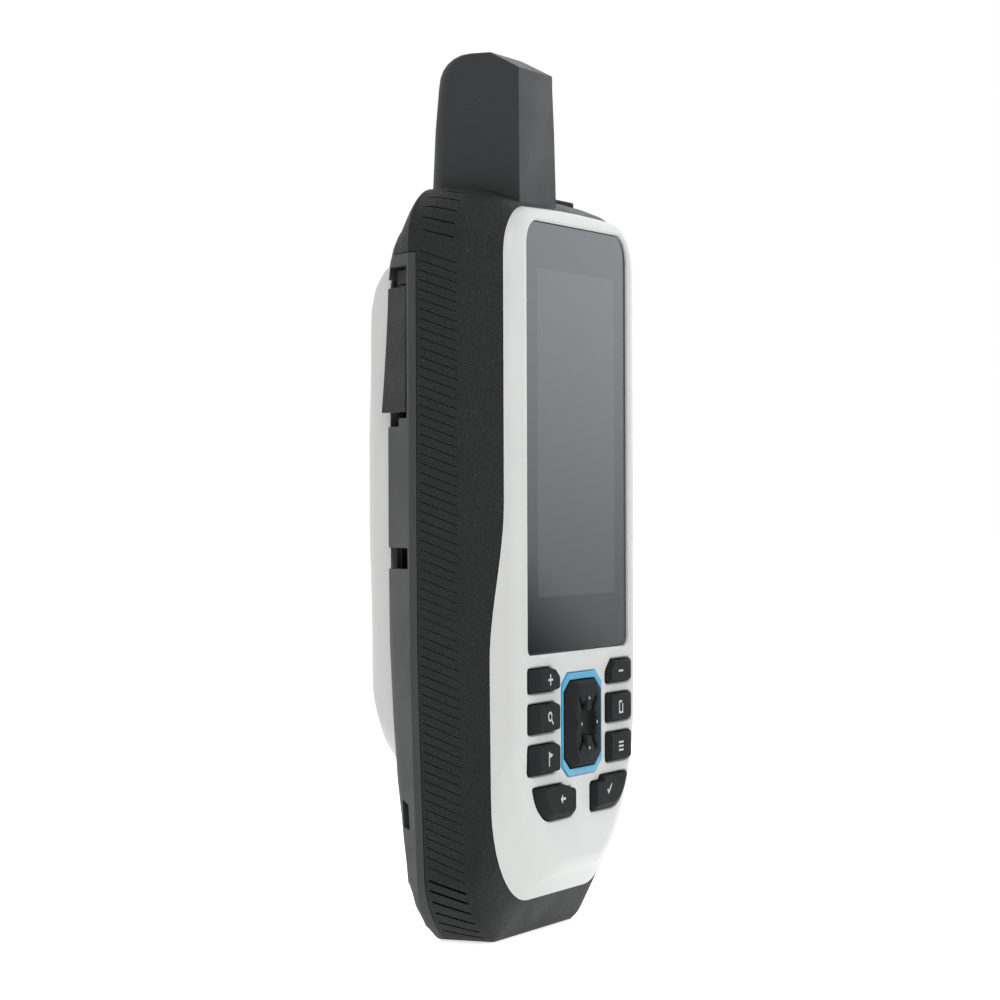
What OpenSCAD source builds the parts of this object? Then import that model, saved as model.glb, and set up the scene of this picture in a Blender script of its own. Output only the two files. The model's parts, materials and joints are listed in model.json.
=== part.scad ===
// Rugged handheld navigation receiver with a stub antenna, a tall display and a keypad.
// Millimetres. +Z points up to the antenna, -Y is the display side, +X is to the right of a
// person facing the display. The origin is the middle of the base.

/* [Body] */
// Width across the widest part of the grips
body_w = 67.8; // [66:0.1:69.6]
// Height of the body without the antenna, at the middle of its crown
body_h = 151.2; // [149:0.1:153]
// Depth from the face of the rocker to the back shell
total_d = 44; // [43.6:0.1:46]
// Height of the whole receiver, to the tip of the antenna
total_h = 178; // [175:0.5:182]
// Depth of the parting line between the grip frame and the rear cover, from the middle
parting_y = 0.7; // [0.4:0.1:1.2]
// Wall thickness of the grip frame, rear cover and back shell
wall = 1.8; // [1.4:0.1:2]
// Wall thickness of the front cover
cover_wall = 1.6; // [1.4:0.1:1.8]

/* [Display] */
// Width of the window
window_w = 52; // [51:0.1:52.6]
// Height of the window
window_h = 85.7; // [84:0.1:86.5]
// Thickness of the window
window_t = 0.8; // [0.6:0.1:1]
// Height of the middle of the window above the base
window_z = 100.65; // [100:0.1:101]
// Width of the display's active area
lcd_w = 39.2; // [38:0.1:40]
// Height of the display's active area
lcd_h = 65.3; // [64:0.1:66]

/* [Keypad] */
// How far the rocker stands out of the front cover
rocker_proud = 1.8; // [1.6:0.1:2.2]
// How far the keys stand out of the front cover
key_proud = 1.2; // [0.8:0.1:1.4]
// Travel of a key
key_travel = 0.6; // [0.4:0.1:0.7]
// Gap round each key
key_gap = 0.25; // [0.2:0.05:0.3]
// Width of the coloured ring round the rocker
ring_w = 20.2; // [20:0.1:20.6]
// Height of the coloured ring round the rocker
ring_h = 20.7; // [20.4:0.1:21]

/* [Antenna] */
// Width of the antenna cover at its base
antenna_w = 18.6; // [18:0.1:19.4]
// Depth of the antenna cover at its base
antenna_d = 21.4; // [20.8:0.1:22]
// Distance of the antenna's axis to the left of the middle
antenna_x = 10.3; // [10:0.1:11]

/* [Battery] */
// Width of the battery pack
battery_w = 37; // [34:0.5:37.5]
// Height of the battery pack
battery_h = 70; // [60:1:72]
// Thickness of the battery pack
battery_t = 9; // [8:0.1:9.1]

/* [Hidden] */
$fn = 48;

WHITE = [0.90, 0.905, 0.895];
BLACK = [0.14, 0.145, 0.15];
STRIP = [0.30, 0.31, 0.32];
GLASS = [0.10, 0.11, 0.12, 0.6];
BLUE = [0.25, 0.62, 0.85];
STEEL = [0.72, 0.73, 0.75];
BOARD = [0.05, 0.32, 0.2];
COPPER = [0.75, 0.45, 0.22];
SILICONE = [0.55, 0.57, 0.6];

// Stack of layers behind the front face
front_y = -total_d / 2 + rocker_proud;
glass_y = front_y + 0.8;
ledge_y = glass_y + window_t + 0.2;
lcd_y = glass_y + window_t + 0.05;
lcd_t = 2;
tray_y = lcd_y + lcd_t + 0.05;
tray_t = 1.4;
board_y = tray_y + tray_t + 0.2;
board_t = 1.2;
flange_y = board_y + board_t;
flange_t = 1.3;
membrane_y = front_y + 3.9;
dome_y = board_y - 0.3;
seam = 0.08; // gap at the seams between fixed mouldings

// Body levels
half_w = body_w / 2;
waist_z = 65; // the sides taper below this height
side_taper = 4.1; // how much the sides would taper down to the base
crown = 1.2; // rise of the top from its corners to the middle
arc_steps = 6;
slab_t = 0.01;

// Every level is [y, half width, bottom, top, foot, bottom corner, top corner]
LEVELS = [
  [front_y, half_w - 6.3, 17, body_h - 6.6, 14, 14, 7],
  [front_y + 1, half_w - 4.3, 12.6, body_h - 5.2, 17, 15, 8],
  [front_y + 3, half_w - 2.9, 10, body_h - 4, 19, 16, 8.5],
  [front_y + 5.5, half_w - 2, 8.5, body_h - 2.6, 20.5, 16, 8],
  [-9, half_w, 0, body_h - 0.5, 19, 13, 7.5],
  [-2.4, half_w - 0.45, 0, body_h, 19, 13, 7.5],
  [2.5, half_w - 0.9, 0, body_h, 19, 13, 7.5],
  [6.2, half_w - 4.2, 6, body_h, 18, 13, 9],
  [9.4, half_w - 7, 36, body_h - 9, 17, 13, 9],
  [10.5, half_w - 7.9, 60, body_h - 15, 17, 13, 9]];
BULGE = [
  [8.5, half_w - 8, 31, 138.8, 14, 10, 8],
  [14.5, half_w - 10.4, 32.5, 138, 13, 10, 8],
  [18, half_w - 13.6, 38, 135.8, 11, 10, 8],
  [total_d / 2 - 1.2, half_w - 19.4, 55, 122, 7, 9, 8],
  [total_d / 2, half_w - 21.9, 77, 103, 6, 5, 5]];

// Strip: the flat chamfer between each side and the back
strip_start = [half_w - 0.9, 2.5];
strip_end = [half_w - 7.9, 10.5];
strip_angle = atan2(strip_end[1] - strip_start[1], strip_start[0] - strip_end[0]);
strip_w = norm(strip_end - strip_start);

// Weather cap, in the plane of the left strip
cap_x = 1.2;
cap_w = 9.2;
cap_z = 105.8;
cap_top = 130.7;
cap_t = 1.2;
cap_lift = 2.6; // angle at which the cap stands open at rest
cap_pin_r = 0.55;
cap_floor = 2; // depth of the recess under the cap
port_z = 117.5;
port_w = 7.6;
port_t = 2.8;

// Keypad rows: [bottom, top], and keys: inner and outer half widths
row_zoom = [50.4, 54.9];
row_two = [42.3, 47.9];
row_three = [34.1, 39.8];
key_in = 12.7;
key_out = 26.4;
flange_out = 24.2; // outer edge of the flange behind each key
rocker_z = 42.95;
rocker_w = ring_w - 1.6;
rocker_h = ring_h - 3.2;

// Screws: [half spacing, height]
FRONT_POSTS = [[28, 50], [28, 92], [27.3, 131]];
BOARD_POSTS = [[24.6, 32], [25, 84], [24.6, 134]];
REAR_POSTS = [[16, 38.5], [16, 133]];
screw_r = 0.8;
fit = 0.05;

spine_w = 9;
spine_z = 92;
spine_h = 30;
tub_y = total_d / 2 - 5.4; // floor of the tub that holds the spine
vent_x = 21.6;
vent_z = 100;
seat_y = strip_end[1] + 1.1; // seat of the rear screws' heads
antenna_y = -4.9;
neck_r = 6.6; // neck of the frame under the antenna
power_x = 15.5;
power_y = -6;
power_w = 15.5;
power_d = 7.6;

// ---- helpers ----

// Extrudes a shape drawn in X and Z from the front face y0 to the back face y1
module plate(y0, y1)
  translate([0, y1, 0]) rotate([90, 0, 0]) linear_extrude(height = y1 - y0) children();

// Cylinder along Y
module y_rod(r, y0, y1)
  translate([0, y0, 0]) rotate([-90, 0, 0]) cylinder(r = r, h = y1 - y0);

module both_sides() {
  children();
  mirror([1, 0, 0]) children();
}

module rounded_rect(w, h, r) {
  square([w - 2 * r, h], center = true);
  square([w, h - 2 * r], center = true);
  for (sx = [-1, 1], sz = [-1, 1]) translate([sx * (w / 2 - r), sz * (h / 2 - r)]) circle(r);
}

// Half width of the side at height z
function side(z, hw) = hw - side_taper * pow(max(0, waist_z - z) / waist_z, 1.3);

// Quarter corner whose power above 1 flattens it towards a chamfer
function corner(cx, cz, rx, rz, a0, a1, power) = [for (i = [0 : arc_steps])
  let (a = a0 + (a1 - a0) * i / arc_steps)
  [cx + rx * sign(cos(a)) * pow(abs(cos(a)), power),
   cz + rz * sign(sin(a)) * pow(abs(sin(a)), power)]];

// Outline of one level, drawn in X and Z, made smaller all round by t
function outline(level, t) =
  let (hw = level[1] - t, z0 = level[2] + t, z1 = level[3] - t,
    foot = level[4] - t, low = level[5], top = level[6],
    rise = crown * hw / half_w, zt = z1 - rise - top, xt = side(zt, hw) - top,
    right = concat(
      corner(foot, z0 + low, side(z0 + low, hw) - foot, low, -90, 0, 1.3),
      [for (z = [waist_z * 0.5, waist_z * 0.75, waist_z, 98])
        if (z > z0 + low + 1 && z < zt - 1) [side(z, hw), z]],
      corner(xt, zt, top, top, 0, 90, 1),
      [for (k = [0.7, 0.35]) [xt * k, z1 - rise * k * k]]))
  concat(right, [for (i = [len(right) - 1 : -1 : 0]) [-right[i][0], right[i][1]]]);

// Closed form lofted through a list of levels, made smaller all round by t: the levels of the
// front and the back also move inwards by t
module lofted(levels, t) hull() for (level = levels) {
  y = level[0] + (level[0] < -9.5 ? t : level[0] > 5 ? -t : 0);
  plate(y, y + slab_t) polygon(outline(level, t));
}

// Everything between two depths
module depths(y0, y1) translate([-50, y0, -5]) cube([100, y1 - y0, 200]);

// Outline of the front cover: straight past the display, wider round the keypad
function cover_outline(t) =
  let (right = concat([[12, 8.4 + t], [20.2, 9.2 + t]],
      corner(14, 31, 17.6 - t, 21.6 - t, -66, -4, 1),
      [[32.0 - t, 45], [31.9 - t, 61], [31.6 - t, 69], [31.3 - t, 76.6], [31 - t, 84]],
      corner(21, 136.6, 10 - t, 10 - t, 0, 84, 1)))
  concat(right, [[0, 147.6 - t]],
    [for (i = [len(right) - 1 : -1 : 0]) [-right[i][0], right[i][1]]]);

// ---- front cover and display ----

module key_shape(row, grow = 0) {
  h = row[1] - row[0];
  translate([(key_in + key_out) / 2, (row[0] + row[1]) / 2])
    rounded_rect(key_out - key_in + 2 * grow, h + 2 * grow, 1);
}

// Zoom key: its upper inner corner is cut off towards the ring
module zoom_shape(grow = 0) difference() {
  key_shape(row_zoom, grow);
  polygon([[key_in - 1, row_zoom[0] + 2.2], [key_in + 2.9 - grow, row_zoom[1] + grow + 0.02],
    [key_in + 2.9 - grow, row_zoom[1] + 3], [key_in - 1, row_zoom[1] + 3]]);
}

// Lower key: swept outer edge, stepped upper edge
module swept_shape(grow = 0) {
  g = grow;
  polygon(concat([[4.85 - g, 25.2 - g], [5.6 - g, 24.5 - g]],
    [for (a = [-84 : 12 : -24]) [15 + (9.3 + g) * cos(a), 33.2 + (8.7 + g) * sin(a)]],
    [[24.1 + g, 30.8 + g], [23.6 + g, 31.3 + g], [10.2 - g, 31.3 + g], [9.2 - g, 30.3 + g],
      [5.6 - g, 30.3 + g], [4.85 - g, 29.6 + g]]));
}

// Octagon round the rocker, made smaller by t
module octagon(w, h, t = 0) {
  cut_x = 3.2;
  cut_z = 2.3;
  translate([0, rocker_z]) polygon([for (s = [[1, 1], [-1, 1], [-1, -1], [1, -1]])
    for (k = s[0] * s[1] > 0 ? [0, 1] : [1, 0])
      [s[0] * (w / 2 - t - (k == 1 ? cut_x : 0)), s[1] * (h / 2 - t - (k == 0 ? cut_z : 0))]]);
}

module window_shape(grow = 0) translate([0, window_z]) {
  w = window_w + 2 * grow;
  h = window_h + 2 * grow;
  top_r = 5.5;
  low_r = 2;
  translate([-w / 2, -h / 2 + low_r]) square([w, h - low_r - top_r]);
  translate([-w / 2 + low_r, -h / 2]) square([w - 2 * low_r, low_r]);
  translate([-w / 2 + top_r, h / 2 - top_r]) square([w - 2 * top_r, top_r]);
  for (s = [-1, 1]) {
    translate([s * (w / 2 - low_r), -h / 2 + low_r]) circle(low_r);
    translate([s * (w / 2 - top_r), h / 2 - top_r]) circle(top_r);
  }
}

module lcd_shape(grow = 0) translate([0, window_z + 0.95])
  rounded_rect(lcd_w + 3.8 + 2 * grow, lcd_h + 5 + 2 * grow, 0.6);

module front_cover() color(WHITE) difference() {
  union() {
    intersection() {
      difference() {
        lofted(LEVELS, 0);
        lofted(LEVELS, cover_wall);
      }
      plate(-30, flange_y - 0.3) polygon(cover_outline(0));
    }
    plate(ledge_y, ledge_y + 1.2) window_shape(1.1);
    both_sides() for (p = FRONT_POSTS) translate([p[0], 0, p[1]]) y_rod(1.8, front_y + 3, flange_y);
  }
  plate(-30, ledge_y) window_shape(0.1);
  plate(-30, 0) lcd_shape(0.2);
  both_sides() plate(-30, 0) {
    zoom_shape(key_gap);
    key_shape(row_two, key_gap);
    key_shape(row_three, key_gap);
    swept_shape(key_gap);
  }
  plate(-30, 0) octagon(ring_w, ring_h, -fit);
  both_sides() for (p = FRONT_POSTS)
    translate([p[0], 0, p[1]]) y_rod(screw_r + fit, flange_y - 3.4, 0);
}

module display_window() color(GLASS) plate(glass_y, glass_y + window_t) window_shape();

module window_gasket() color(BLACK) plate(glass_y + window_t, ledge_y) difference() {
  window_shape(-0.4);
  lcd_shape(0.6);
}

module lcd_panel() color([0.12, 0.13, 0.14]) plate(lcd_y, lcd_y + lcd_t) lcd_shape();

// Moulded tray that carries the backlight behind the panel
module lcd_tray() color(STEEL) difference() {
  plate(tray_y, tray_y + tray_t) translate([0, window_z + 0.95])
    rounded_rect(lcd_w + 6.4, lcd_h + 7, 1.2);
  for (z = [-22, 0, 22]) translate([0, tray_y + 0.6, window_z + z])
    rotate([-90, 0, 0]) cylinder(r = 5, h = tray_t);
}

// Flat ribbon from the panel's lower edge down to the board
module display_flex() color([0.62, 0.4, 0.12]) translate([-7, 0, 0]) {
  low_z = window_z + 0.95 - lcd_h / 2 - 3.6;
  translate([0, lcd_y + 1.7, low_z - 1.2]) cube([14, 0.25, 2.2]);
  translate([0, lcd_y + 1.7, low_z - 1.2]) cube([14, board_y - lcd_y - 1.7, 0.25]);
}

// ---- keypad ----

module keypad_ring() color(BLUE) {
  plate(front_y - 0.25, front_y + cover_wall) difference() {
    octagon(ring_w, ring_h);
    octagon(rocker_w + 2 * key_gap, rocker_h + 2 * key_gap, 0);
  }
  plate(front_y + cover_wall, front_y + cover_wall + 0.6) difference() {
    octagon(ring_w + 1.6, ring_h + 1.6);
    octagon(rocker_w + 2 * key_gap, rocker_h + 2 * key_gap, 0);
  }
}

// One key: a cap with a wide outer chamfer, a flange behind the cover and a plunger
module key(row_z, push_x) color(BLACK) {
  face = front_y - key_proud;
  intersection() {
    plate(face, front_y + cover_wall + 0.2) children(0);
    translate([0, 0, row_z - 12]) linear_extrude(height = 24)
      polygon([[0, front_y + 3], [0, face], [key_in + 10.4, face], [key_out, front_y - 0.1],
        [key_out + 1, front_y + 3]]);
  }
  plate(front_y + cover_wall + 0.2, front_y + cover_wall + 1) intersection() {
    children(1);
    square([2 * flange_out, 2 * body_h], center = true);
  }
  translate([push_x, 0, row_z]) y_rod(1.4, front_y + cover_wall + 1, membrane_y - key_travel - 0.2);
}

module rect_key(row) key((row[0] + row[1]) / 2, (key_in + key_out) / 2) {
  key_shape(row);
  key_shape(row, 0.6);
}

module zoom_key() key((row_zoom[0] + row_zoom[1]) / 2, (key_in + key_out) / 2 + 1) {
  zoom_shape();
  zoom_shape(0.6);
}

module swept_key() key(28.2, 13) {
  swept_shape();
  swept_shape(0.6);
}

module key_zoom_in() mirror([1, 0, 0]) zoom_key();
module key_zoom_out() zoom_key();
module key_find() mirror([1, 0, 0]) rect_key(row_two);
module key_page() rect_key(row_two);
module key_mark() mirror([1, 0, 0]) rect_key(row_three);
module key_menu() rect_key(row_three);
module key_quit() mirror([1, 0, 0]) swept_key();
module key_enter() swept_key();

// Four-way rocker: chamfered block with a cross-shaped hollow between four raised tabs
module rocker_pad() color(BLACK) difference() {
  face = -total_d / 2;
  union() {
    intersection() {
      plate(face, front_y + cover_wall + 0.8) octagon(rocker_w, rocker_h);
      translate([0, 0, rocker_z - 12]) linear_extrude(height = 24)
        polygon([[-rocker_w / 2, front_y + 3], [-rocker_w / 2, front_y - 0.4], [-6.2, face],
          [6.2, face], [rocker_w / 2, front_y - 0.4], [rocker_w / 2, front_y + 3]]);
    }
    for (a = [0 : 90 : 270]) translate([0, 0, rocker_z]) rotate([0, a, 0])
      translate([5.4, 0, 0]) y_rod(1, front_y + cover_wall + 0.8, membrane_y - 0.7);
  }
  plate(face - 1, face + 1) translate([0, rocker_z]) {
    square([4.6, 6], center = true);
    for (sx = [-1, 1], sz = [-1, 1]) rotate(sx * sz * 50) translate([sx * 4, 0])
      square([4, 1.9], center = true);
  }
  // sockets for the pivot's arms, open to the back
  translate([0, front_y + 3, rocker_z]) {
    rotate([0, 90, 0]) cylinder(r = 1.2, h = 5.2, center = true);
    cylinder(r = 1.05, h = 5.2, center = true);
    translate([-2.6, 0.01, -1.1]) cube([5.2, 3, 2.2]);
    translate([-0.95, 0.01, -2.6]) cube([1.9, 3, 5.2]);
  }
}

// Cross-shaped pivot: the rocker tips on its X arm, and it tips on its own Z arm
module rocker_pivot() color(STEEL) translate([0, front_y + 3, rocker_z]) {
  rotate([0, 90, 0]) cylinder(r = 0.9, h = 4.8, center = true);
  cylinder(r = 1, h = 4.8, center = true);
}

// Room for the heads of the lower board screws
module head_room() both_sides() translate([22.5, -30, 29.5]) cube([8, 40, 5.4]);

module keypad_membrane() color(SILICONE) difference() {
  plate(membrane_y, dome_y - 0.05) translate([0, 39.6]) rounded_rect(50, 33, 5);
  head_room();
  plate(-30, 0) translate([0, rocker_z]) rounded_rect(7, 7, 1);
}

// Thin sheet that carries one metal dome for every key and rocker direction
module dome_sheet() color(STEEL) difference() {
  plate(dome_y, dome_y + 0.25) difference() {
    translate([0, 39.6]) rounded_rect(49, 30, 4);
    translate([0, rocker_z]) rounded_rect(7.4, 7.4, 1);
  }
  head_room();
}

// ---- electronics ----

module main_board() color(BOARD) difference() {
  plate(board_y, board_y + board_t) polygon([[-18, 22], [18, 22], [26.5, 30], [26.5, 136],
    [21, 141.5], [-21, 141.5], [-26.5, 136], [-26.5, 30]]);
  both_sides() for (p = BOARD_POSTS) translate([p[0], 0, p[1]]) y_rod(screw_r + fit, -30, 0);
  both_sides() for (p = FRONT_POSTS) translate([p[0], 0, p[1]]) y_rod(2.1, -30, 0);
  plate(-30, 0) translate([0, rocker_z]) circle(2.6);
}

module board_chips() color([0.08, 0.08, 0.09]) translate([0, board_y + board_t, 0]) {
  for (c = [[-14, 70, 10, 10], [6, 66, 12, 8], [2, 30, 7, 6], [-10, 30, 6, 9], [-2, 84, 8, 5]])
    translate([c[0], 0, c[1]]) cube([c[2], 1.1, c[3]]);
}

module shield_cans() color(STEEL) for (c = [[-19, 98, 17, 24], [2, 104, 16, 18]])
  translate([c[0], board_y + board_t, c[1]]) difference() {
    cube([c[2], 2.4, c[3]]);
    translate([0.3, -0.1, 0.3]) cube([c[2] - 0.6, 2.2, c[3] - 0.6]);
  }

// Pan-head screw along Y: its head is on the side towards which dir points
module screw(r, length, head_r, head_h, dir) mirror([0, dir > 0 ? 1 : 0, 0]) difference() {
  union() {
    y_rod(head_r, -head_h, 0);
    y_rod(r, 0, length);
  }
  y_rod(head_r * 0.45, -head_h - 0.1, -head_h / 2, $fn = 6);
}

module board_screws() color(STEEL) both_sides() for (p = BOARD_POSTS)
  translate([p[0], board_y, p[1]]) screw(screw_r, board_t + flange_t, 1.5, 0.9, -1);

module front_screws() color(STEEL) both_sides() for (p = FRONT_POSTS)
  translate([p[0], flange_y + flange_t, p[1]]) screw(screw_r, flange_t + 3, 1.5, 0.9, 1);

module buzzer() color(COPPER) translate([10, flange_y, 56]) {
  y_rod(6.5, 0, 0.4);
  y_rod(5, 0.4, 0.8);
}

// ---- grip frame ----

// Opening of the flange: narrow past the rear screws, wide past the battery
module frame_opening() polygon(let (right = [[11, 16], [11, 43], [23.4, 51], [23.4, 123],
    [12.2, 130], [12.2, 140]])
  concat(right, [for (i = [len(right) - 1 : -1 : 0]) [-right[i][0], right[i][1]]]));

module grip_frame() color(BLACK) difference() {
  union() {
    intersection() {
      difference() {
        lofted(LEVELS, 0);
        lofted(LEVELS, wall);
      }
      depths(-30, parting_y - seam);
    }
    intersection() {
      lofted(LEVELS, 0.9);
      plate(flange_y, flange_y + flange_t) difference() {
        translate([0, 76]) square([80, 150], center = true);
        frame_opening();
      }
    }
    // posts for the rear screws
    both_sides() for (p = REAR_POSTS) translate([p[0], 0, p[1]])
      y_rod(2.6, flange_y + flange_t - 0.2, parting_y - seam);
    // neck under the antenna
    intersection() {
      translate([-antenna_x, antenna_y, body_h - 7]) cylinder(r = neck_r, h = 6.2);
      depths(-30, parting_y - 0.6);
    }
  }
  plate(-30, flange_y - 0.3) polygon(cover_outline(-seam));
  both_sides() for (p = FRONT_POSTS) translate([p[0], 0, p[1]]) y_rod(screw_r + fit, -30, 0);
  both_sides() for (p = BOARD_POSTS) translate([p[0], 0, p[1]]) y_rod(screw_r + fit, -30, 0);
  both_sides() for (p = REAR_POSTS) translate([p[0], 0, p[1]]) y_rod(screw_r + fit, -7.5, 8);
  translate([-antenna_x, antenna_y, body_h - 8]) cylinder(r = 4, h = 12);
  translate([power_x, power_y, body_h - 6]) linear_extrude(height = 10)
    rounded_rect(power_w + 2 * key_gap, power_d + 2 * key_gap, 3.2);
}

module perimeter_seal() color([0.2, 0.2, 0.22]) intersection() {
  lofted(LEVELS, wall + 0.1);
  difference() {
    depths(parting_y - 0.5, parting_y + 0.5);
    lofted(LEVELS, wall + 1.3);
  }
}

// ---- rear cover and back ----

// Places children on the left strip: x runs across it to the back, y points outwards
module on_strip() translate([-strip_start[0], strip_start[1], 0]) rotate([0, 0, strip_angle])
  children();

module rear_cover() color(STRIP) difference() {
  union() {
    intersection() {
      difference() {
        lofted(LEVELS, 0);
        lofted(LEVELS, wall);
      }
      depths(parting_y + seam, 30);
    }
    // thick block behind the weather cap
    intersection() {
      lofted(LEVELS, 0.2);
      on_strip() translate([0.4, -4.4, 101]) cube([strip_w - 0.8, 4.4, 36]);
      depths(parting_y + 0.6, 30);
    }
    both_sides() for (p = REAR_POSTS) translate([p[0], 0, p[1]])
      y_rod(2.6, parting_y + seam, strip_end[1] - 1.6);
  }
  // opening to the battery bay
  plate(0, 30) translate([0, 86]) rounded_rect(battery_w + 1.4, 84, 4);
  // recess for the cap, with a deeper pocket for its tether
  on_strip() {
    translate([0.8, -cap_floor, 103]) cube([strip_w + 4, 8, 31.6]);
    translate([2.5, -3.4, 131.2]) cube([6, 3, 3]);
    translate([cap_x + cap_w / 2, -9, port_z]) rotate([-90, 0, 0]) linear_extrude(height = 12)
      rounded_rect(port_t + 0.5, port_w + 0.5, 1.2);
  }
  both_sides() on_strip() {
    translate([1, -1.2, 74.7]) cube([strip_w + 4, 6, 4.2]);
    translate([3.6, -1.2, 22.6]) cube([5.4, 6, 5.4]);
  }
  both_sides() for (p = REAR_POSTS) translate([p[0], 0, p[1]]) y_rod(screw_r + fit, 0, 30);
  translate([vent_x, 0, vent_z]) y_rod(0.5, 5, 30);
}

module back_shell() color(WHITE) difference() {
  union() {
    difference() {
      lofted(BULGE, 0);
      lofted(BULGE, wall);
    }
    // tub for the mounting spine
    intersection() {
      lofted(BULGE, 0.2);
      plate(tub_y - 1.2, 40) translate([0, spine_z]) rounded_rect(23, 43, 4);
    }
    // wells for the rear screws
    intersection() {
      lofted(BULGE, 0.2);
      both_sides() for (p = REAR_POSTS) translate([p[0], 0, p[1]]) y_rod(2.9, 5, 40);
    }
  }
  lofted(LEVELS, -0.05);
  plate(tub_y, 40) translate([0, spine_z]) rounded_rect(19, 39, 3);
  for (z = [-9, 9]) translate([0, 0, spine_z + z]) y_rod(screw_r + fit, 0, 40);
  both_sides() for (p = REAR_POSTS) translate([p[0], 0, p[1]]) {
    y_rod(screw_r + fit, 0, 40);
    y_rod(1.9, seat_y, 40);
  }
}

module back_seal() color([0.2, 0.2, 0.22]) plate(10.6, 11.4) difference() {
  translate([0, 86]) rounded_rect(41.4, 86.2, 5);
  translate([0, 86]) rounded_rect(39, 84.2, 4);
}

// T-section rail for a belt clip or a bracket
module mount_spine() color(BLACK) difference() {
  union() {
    plate(tub_y, tub_y + 2.4) translate([0, spine_z]) rounded_rect(spine_w - 3.6, spine_h, 1.5);
    plate(tub_y + 2.4, tub_y + 4.2) translate([0, spine_z]) rounded_rect(spine_w, spine_h, 1.8);
  }
  for (z = [-9, 9]) translate([0, 0, spine_z + z]) {
    y_rod(screw_r + fit, 0, 40);
    y_rod(1.6, tub_y + 3, 40);
  }
}

module rear_screws() color(STEEL) {
  both_sides() for (p = REAR_POSTS) translate([p[0], seat_y, p[1]])
    screw(screw_r, seat_y + 7, 1.6, 0.9, 1);
  for (z = [-9, 9]) translate([0, tub_y + 3, spine_z + z]) screw(screw_r, 4.1, 1.5, 0.9, 1);
}

// Rubber flap over the data and charging port, hung from its top edge
module weather_cap() color(BLACK) on_strip()
  translate([cap_x, -cap_t / 2, cap_top - cap_pin_r]) rotate([cap_lift, 0, 0]) {
    translate([0, -cap_t / 2, cap_z - cap_top + cap_pin_r])
      cube([cap_w, cap_t, cap_top - cap_z - cap_pin_r]);
    rotate([0, 90, 0]) cylinder(r = cap_t / 2, h = cap_w);
    translate([cap_w / 2, -cap_t / 2 - 0.6, port_z - cap_top + cap_pin_r]) rotate([-90, 0, 0])
      linear_extrude(height = 0.6) rounded_rect(port_t - 0.4, port_w - 0.4, 1);
  }

// Rubber anchor pressed into the pocket above the flap
module cap_tether() color(BLACK) on_strip() {
  translate([2.6, -3.3, 131.4]) cube([5.8, 2.1, 2.7]);
}

module usb_connector() color(STEEL) on_strip()
  translate([cap_x + cap_w / 2, 0, port_z]) rotate([-90, 0, 0]) difference() {
    translate([0, 0, -7]) linear_extrude(height = 4.2) rounded_rect(port_t, port_w, 1);
    translate([0, 0, -6.4]) linear_extrude(height = 6) rounded_rect(port_t - 0.6, port_w - 0.6, 0.8);
  }

module port_board() color(BOARD) on_strip() translate([3.2, -8, port_z - 8]) cube([6.4, 0.9, 16]);

module port_flex() color([0.62, 0.4, 0.12]) translate([-26.1, flange_y + flange_t, port_z - 3]) {
  cube([3, 0.25, 6]);
  cube([0.25, 8.4, 6]);
}

// ---- battery ----

module battery_pack() color([0.2, 0.35, 0.6]) plate(6.2, 6.2 + battery_t) translate([0, 86])
  rounded_rect(battery_w, battery_h, 2.5);

module battery_pad() color([0.3, 0.3, 0.3]) plate(5, 6.2) translate([0, 86])
  rounded_rect(battery_w - 8, battery_h - 12, 2);

module battery_plug() color([0.85, 0.83, 0.75]) translate([-8, flange_y, 44])
  cube([9, 3.2, 5]);

module vent_membrane() color([0.8, 0.8, 0.82]) translate([vent_x, 0, vent_z])
  y_rod(1.9, strip_end[1] - wall - 0.45, strip_end[1] - wall - 0.05);

// ---- antenna ----

// Antenna form in plan at one height: square front corners, round back corners
module antenna_slab(z, w, y0, y1, r, t) translate([-antenna_x, 0, z])
  linear_extrude(height = slab_t) {
    translate([-w / 2 + t, y0 + t]) square([w - 2 * t, 2]);
    for (s = [-1, 1]) translate([s * (w / 2 - r), y1 - r]) circle(r - t, $fn = 32);
  }

module antenna_form(t) {
  front = -15.6;
  back = front + antenna_d;
  hull() {
    antenna_slab(body_h - 8, antenna_w, front, back, 5, t);
    antenna_slab(body_h + 12, antenna_w - 0.9, front + 0.3, back - 0.9, 5, t);
    antenna_slab(total_h - 6.5, antenna_w - 1.6, front + 0.5, back - 1.6, 5, t);
    antenna_slab(total_h - 3.5, antenna_w - 2.2, front + 0.6, back - 2.8, 5, t);
    antenna_slab(total_h - slab_t - t, antenna_w - 5, front + 6.8, back - 7.4, 4, t);
  }
}

module antenna_cover() color(BLACK) difference() {
  antenna_form(0);
  antenna_form(1.5);
  lofted(LEVELS, -0.05);
}

module antenna_core() color([0.85, 0.84, 0.8]) translate([-antenna_x, antenna_y, body_h + 1])
  difference() {
    cylinder(r = 4.8, h = 21);
    translate([0, 0, -1]) cylinder(r = 3.6, h = 21);
  }

// Four helical conductors wound on the core
module antenna_element() color(COPPER) translate([-antenna_x, antenna_y, body_h + 2.4])
  for (a = [0 : 90 : 270]) rotate([0, 0, a])
    linear_extrude(height = 18, twist = -150, slices = 9, $fn = 16)
      translate([4.86, -0.7]) square([0.25, 1.4]);

module antenna_seal() color([0.2, 0.2, 0.22]) translate([-antenna_x, antenna_y, body_h + 0.3])
  rotate_extrude() translate([6.4, 0]) circle(0.45, $fn = 24);

module antenna_lead() color([0.75, 0.72, 0.6]) {
  translate([-antenna_x, antenna_y, body_h - 14]) cylinder(r = 0.9, h = 15);
  translate([-antenna_x, flange_y, body_h - 14]) y_rod(0.9, 0, antenna_y - flange_y);
}

// ---- power key ----

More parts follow.
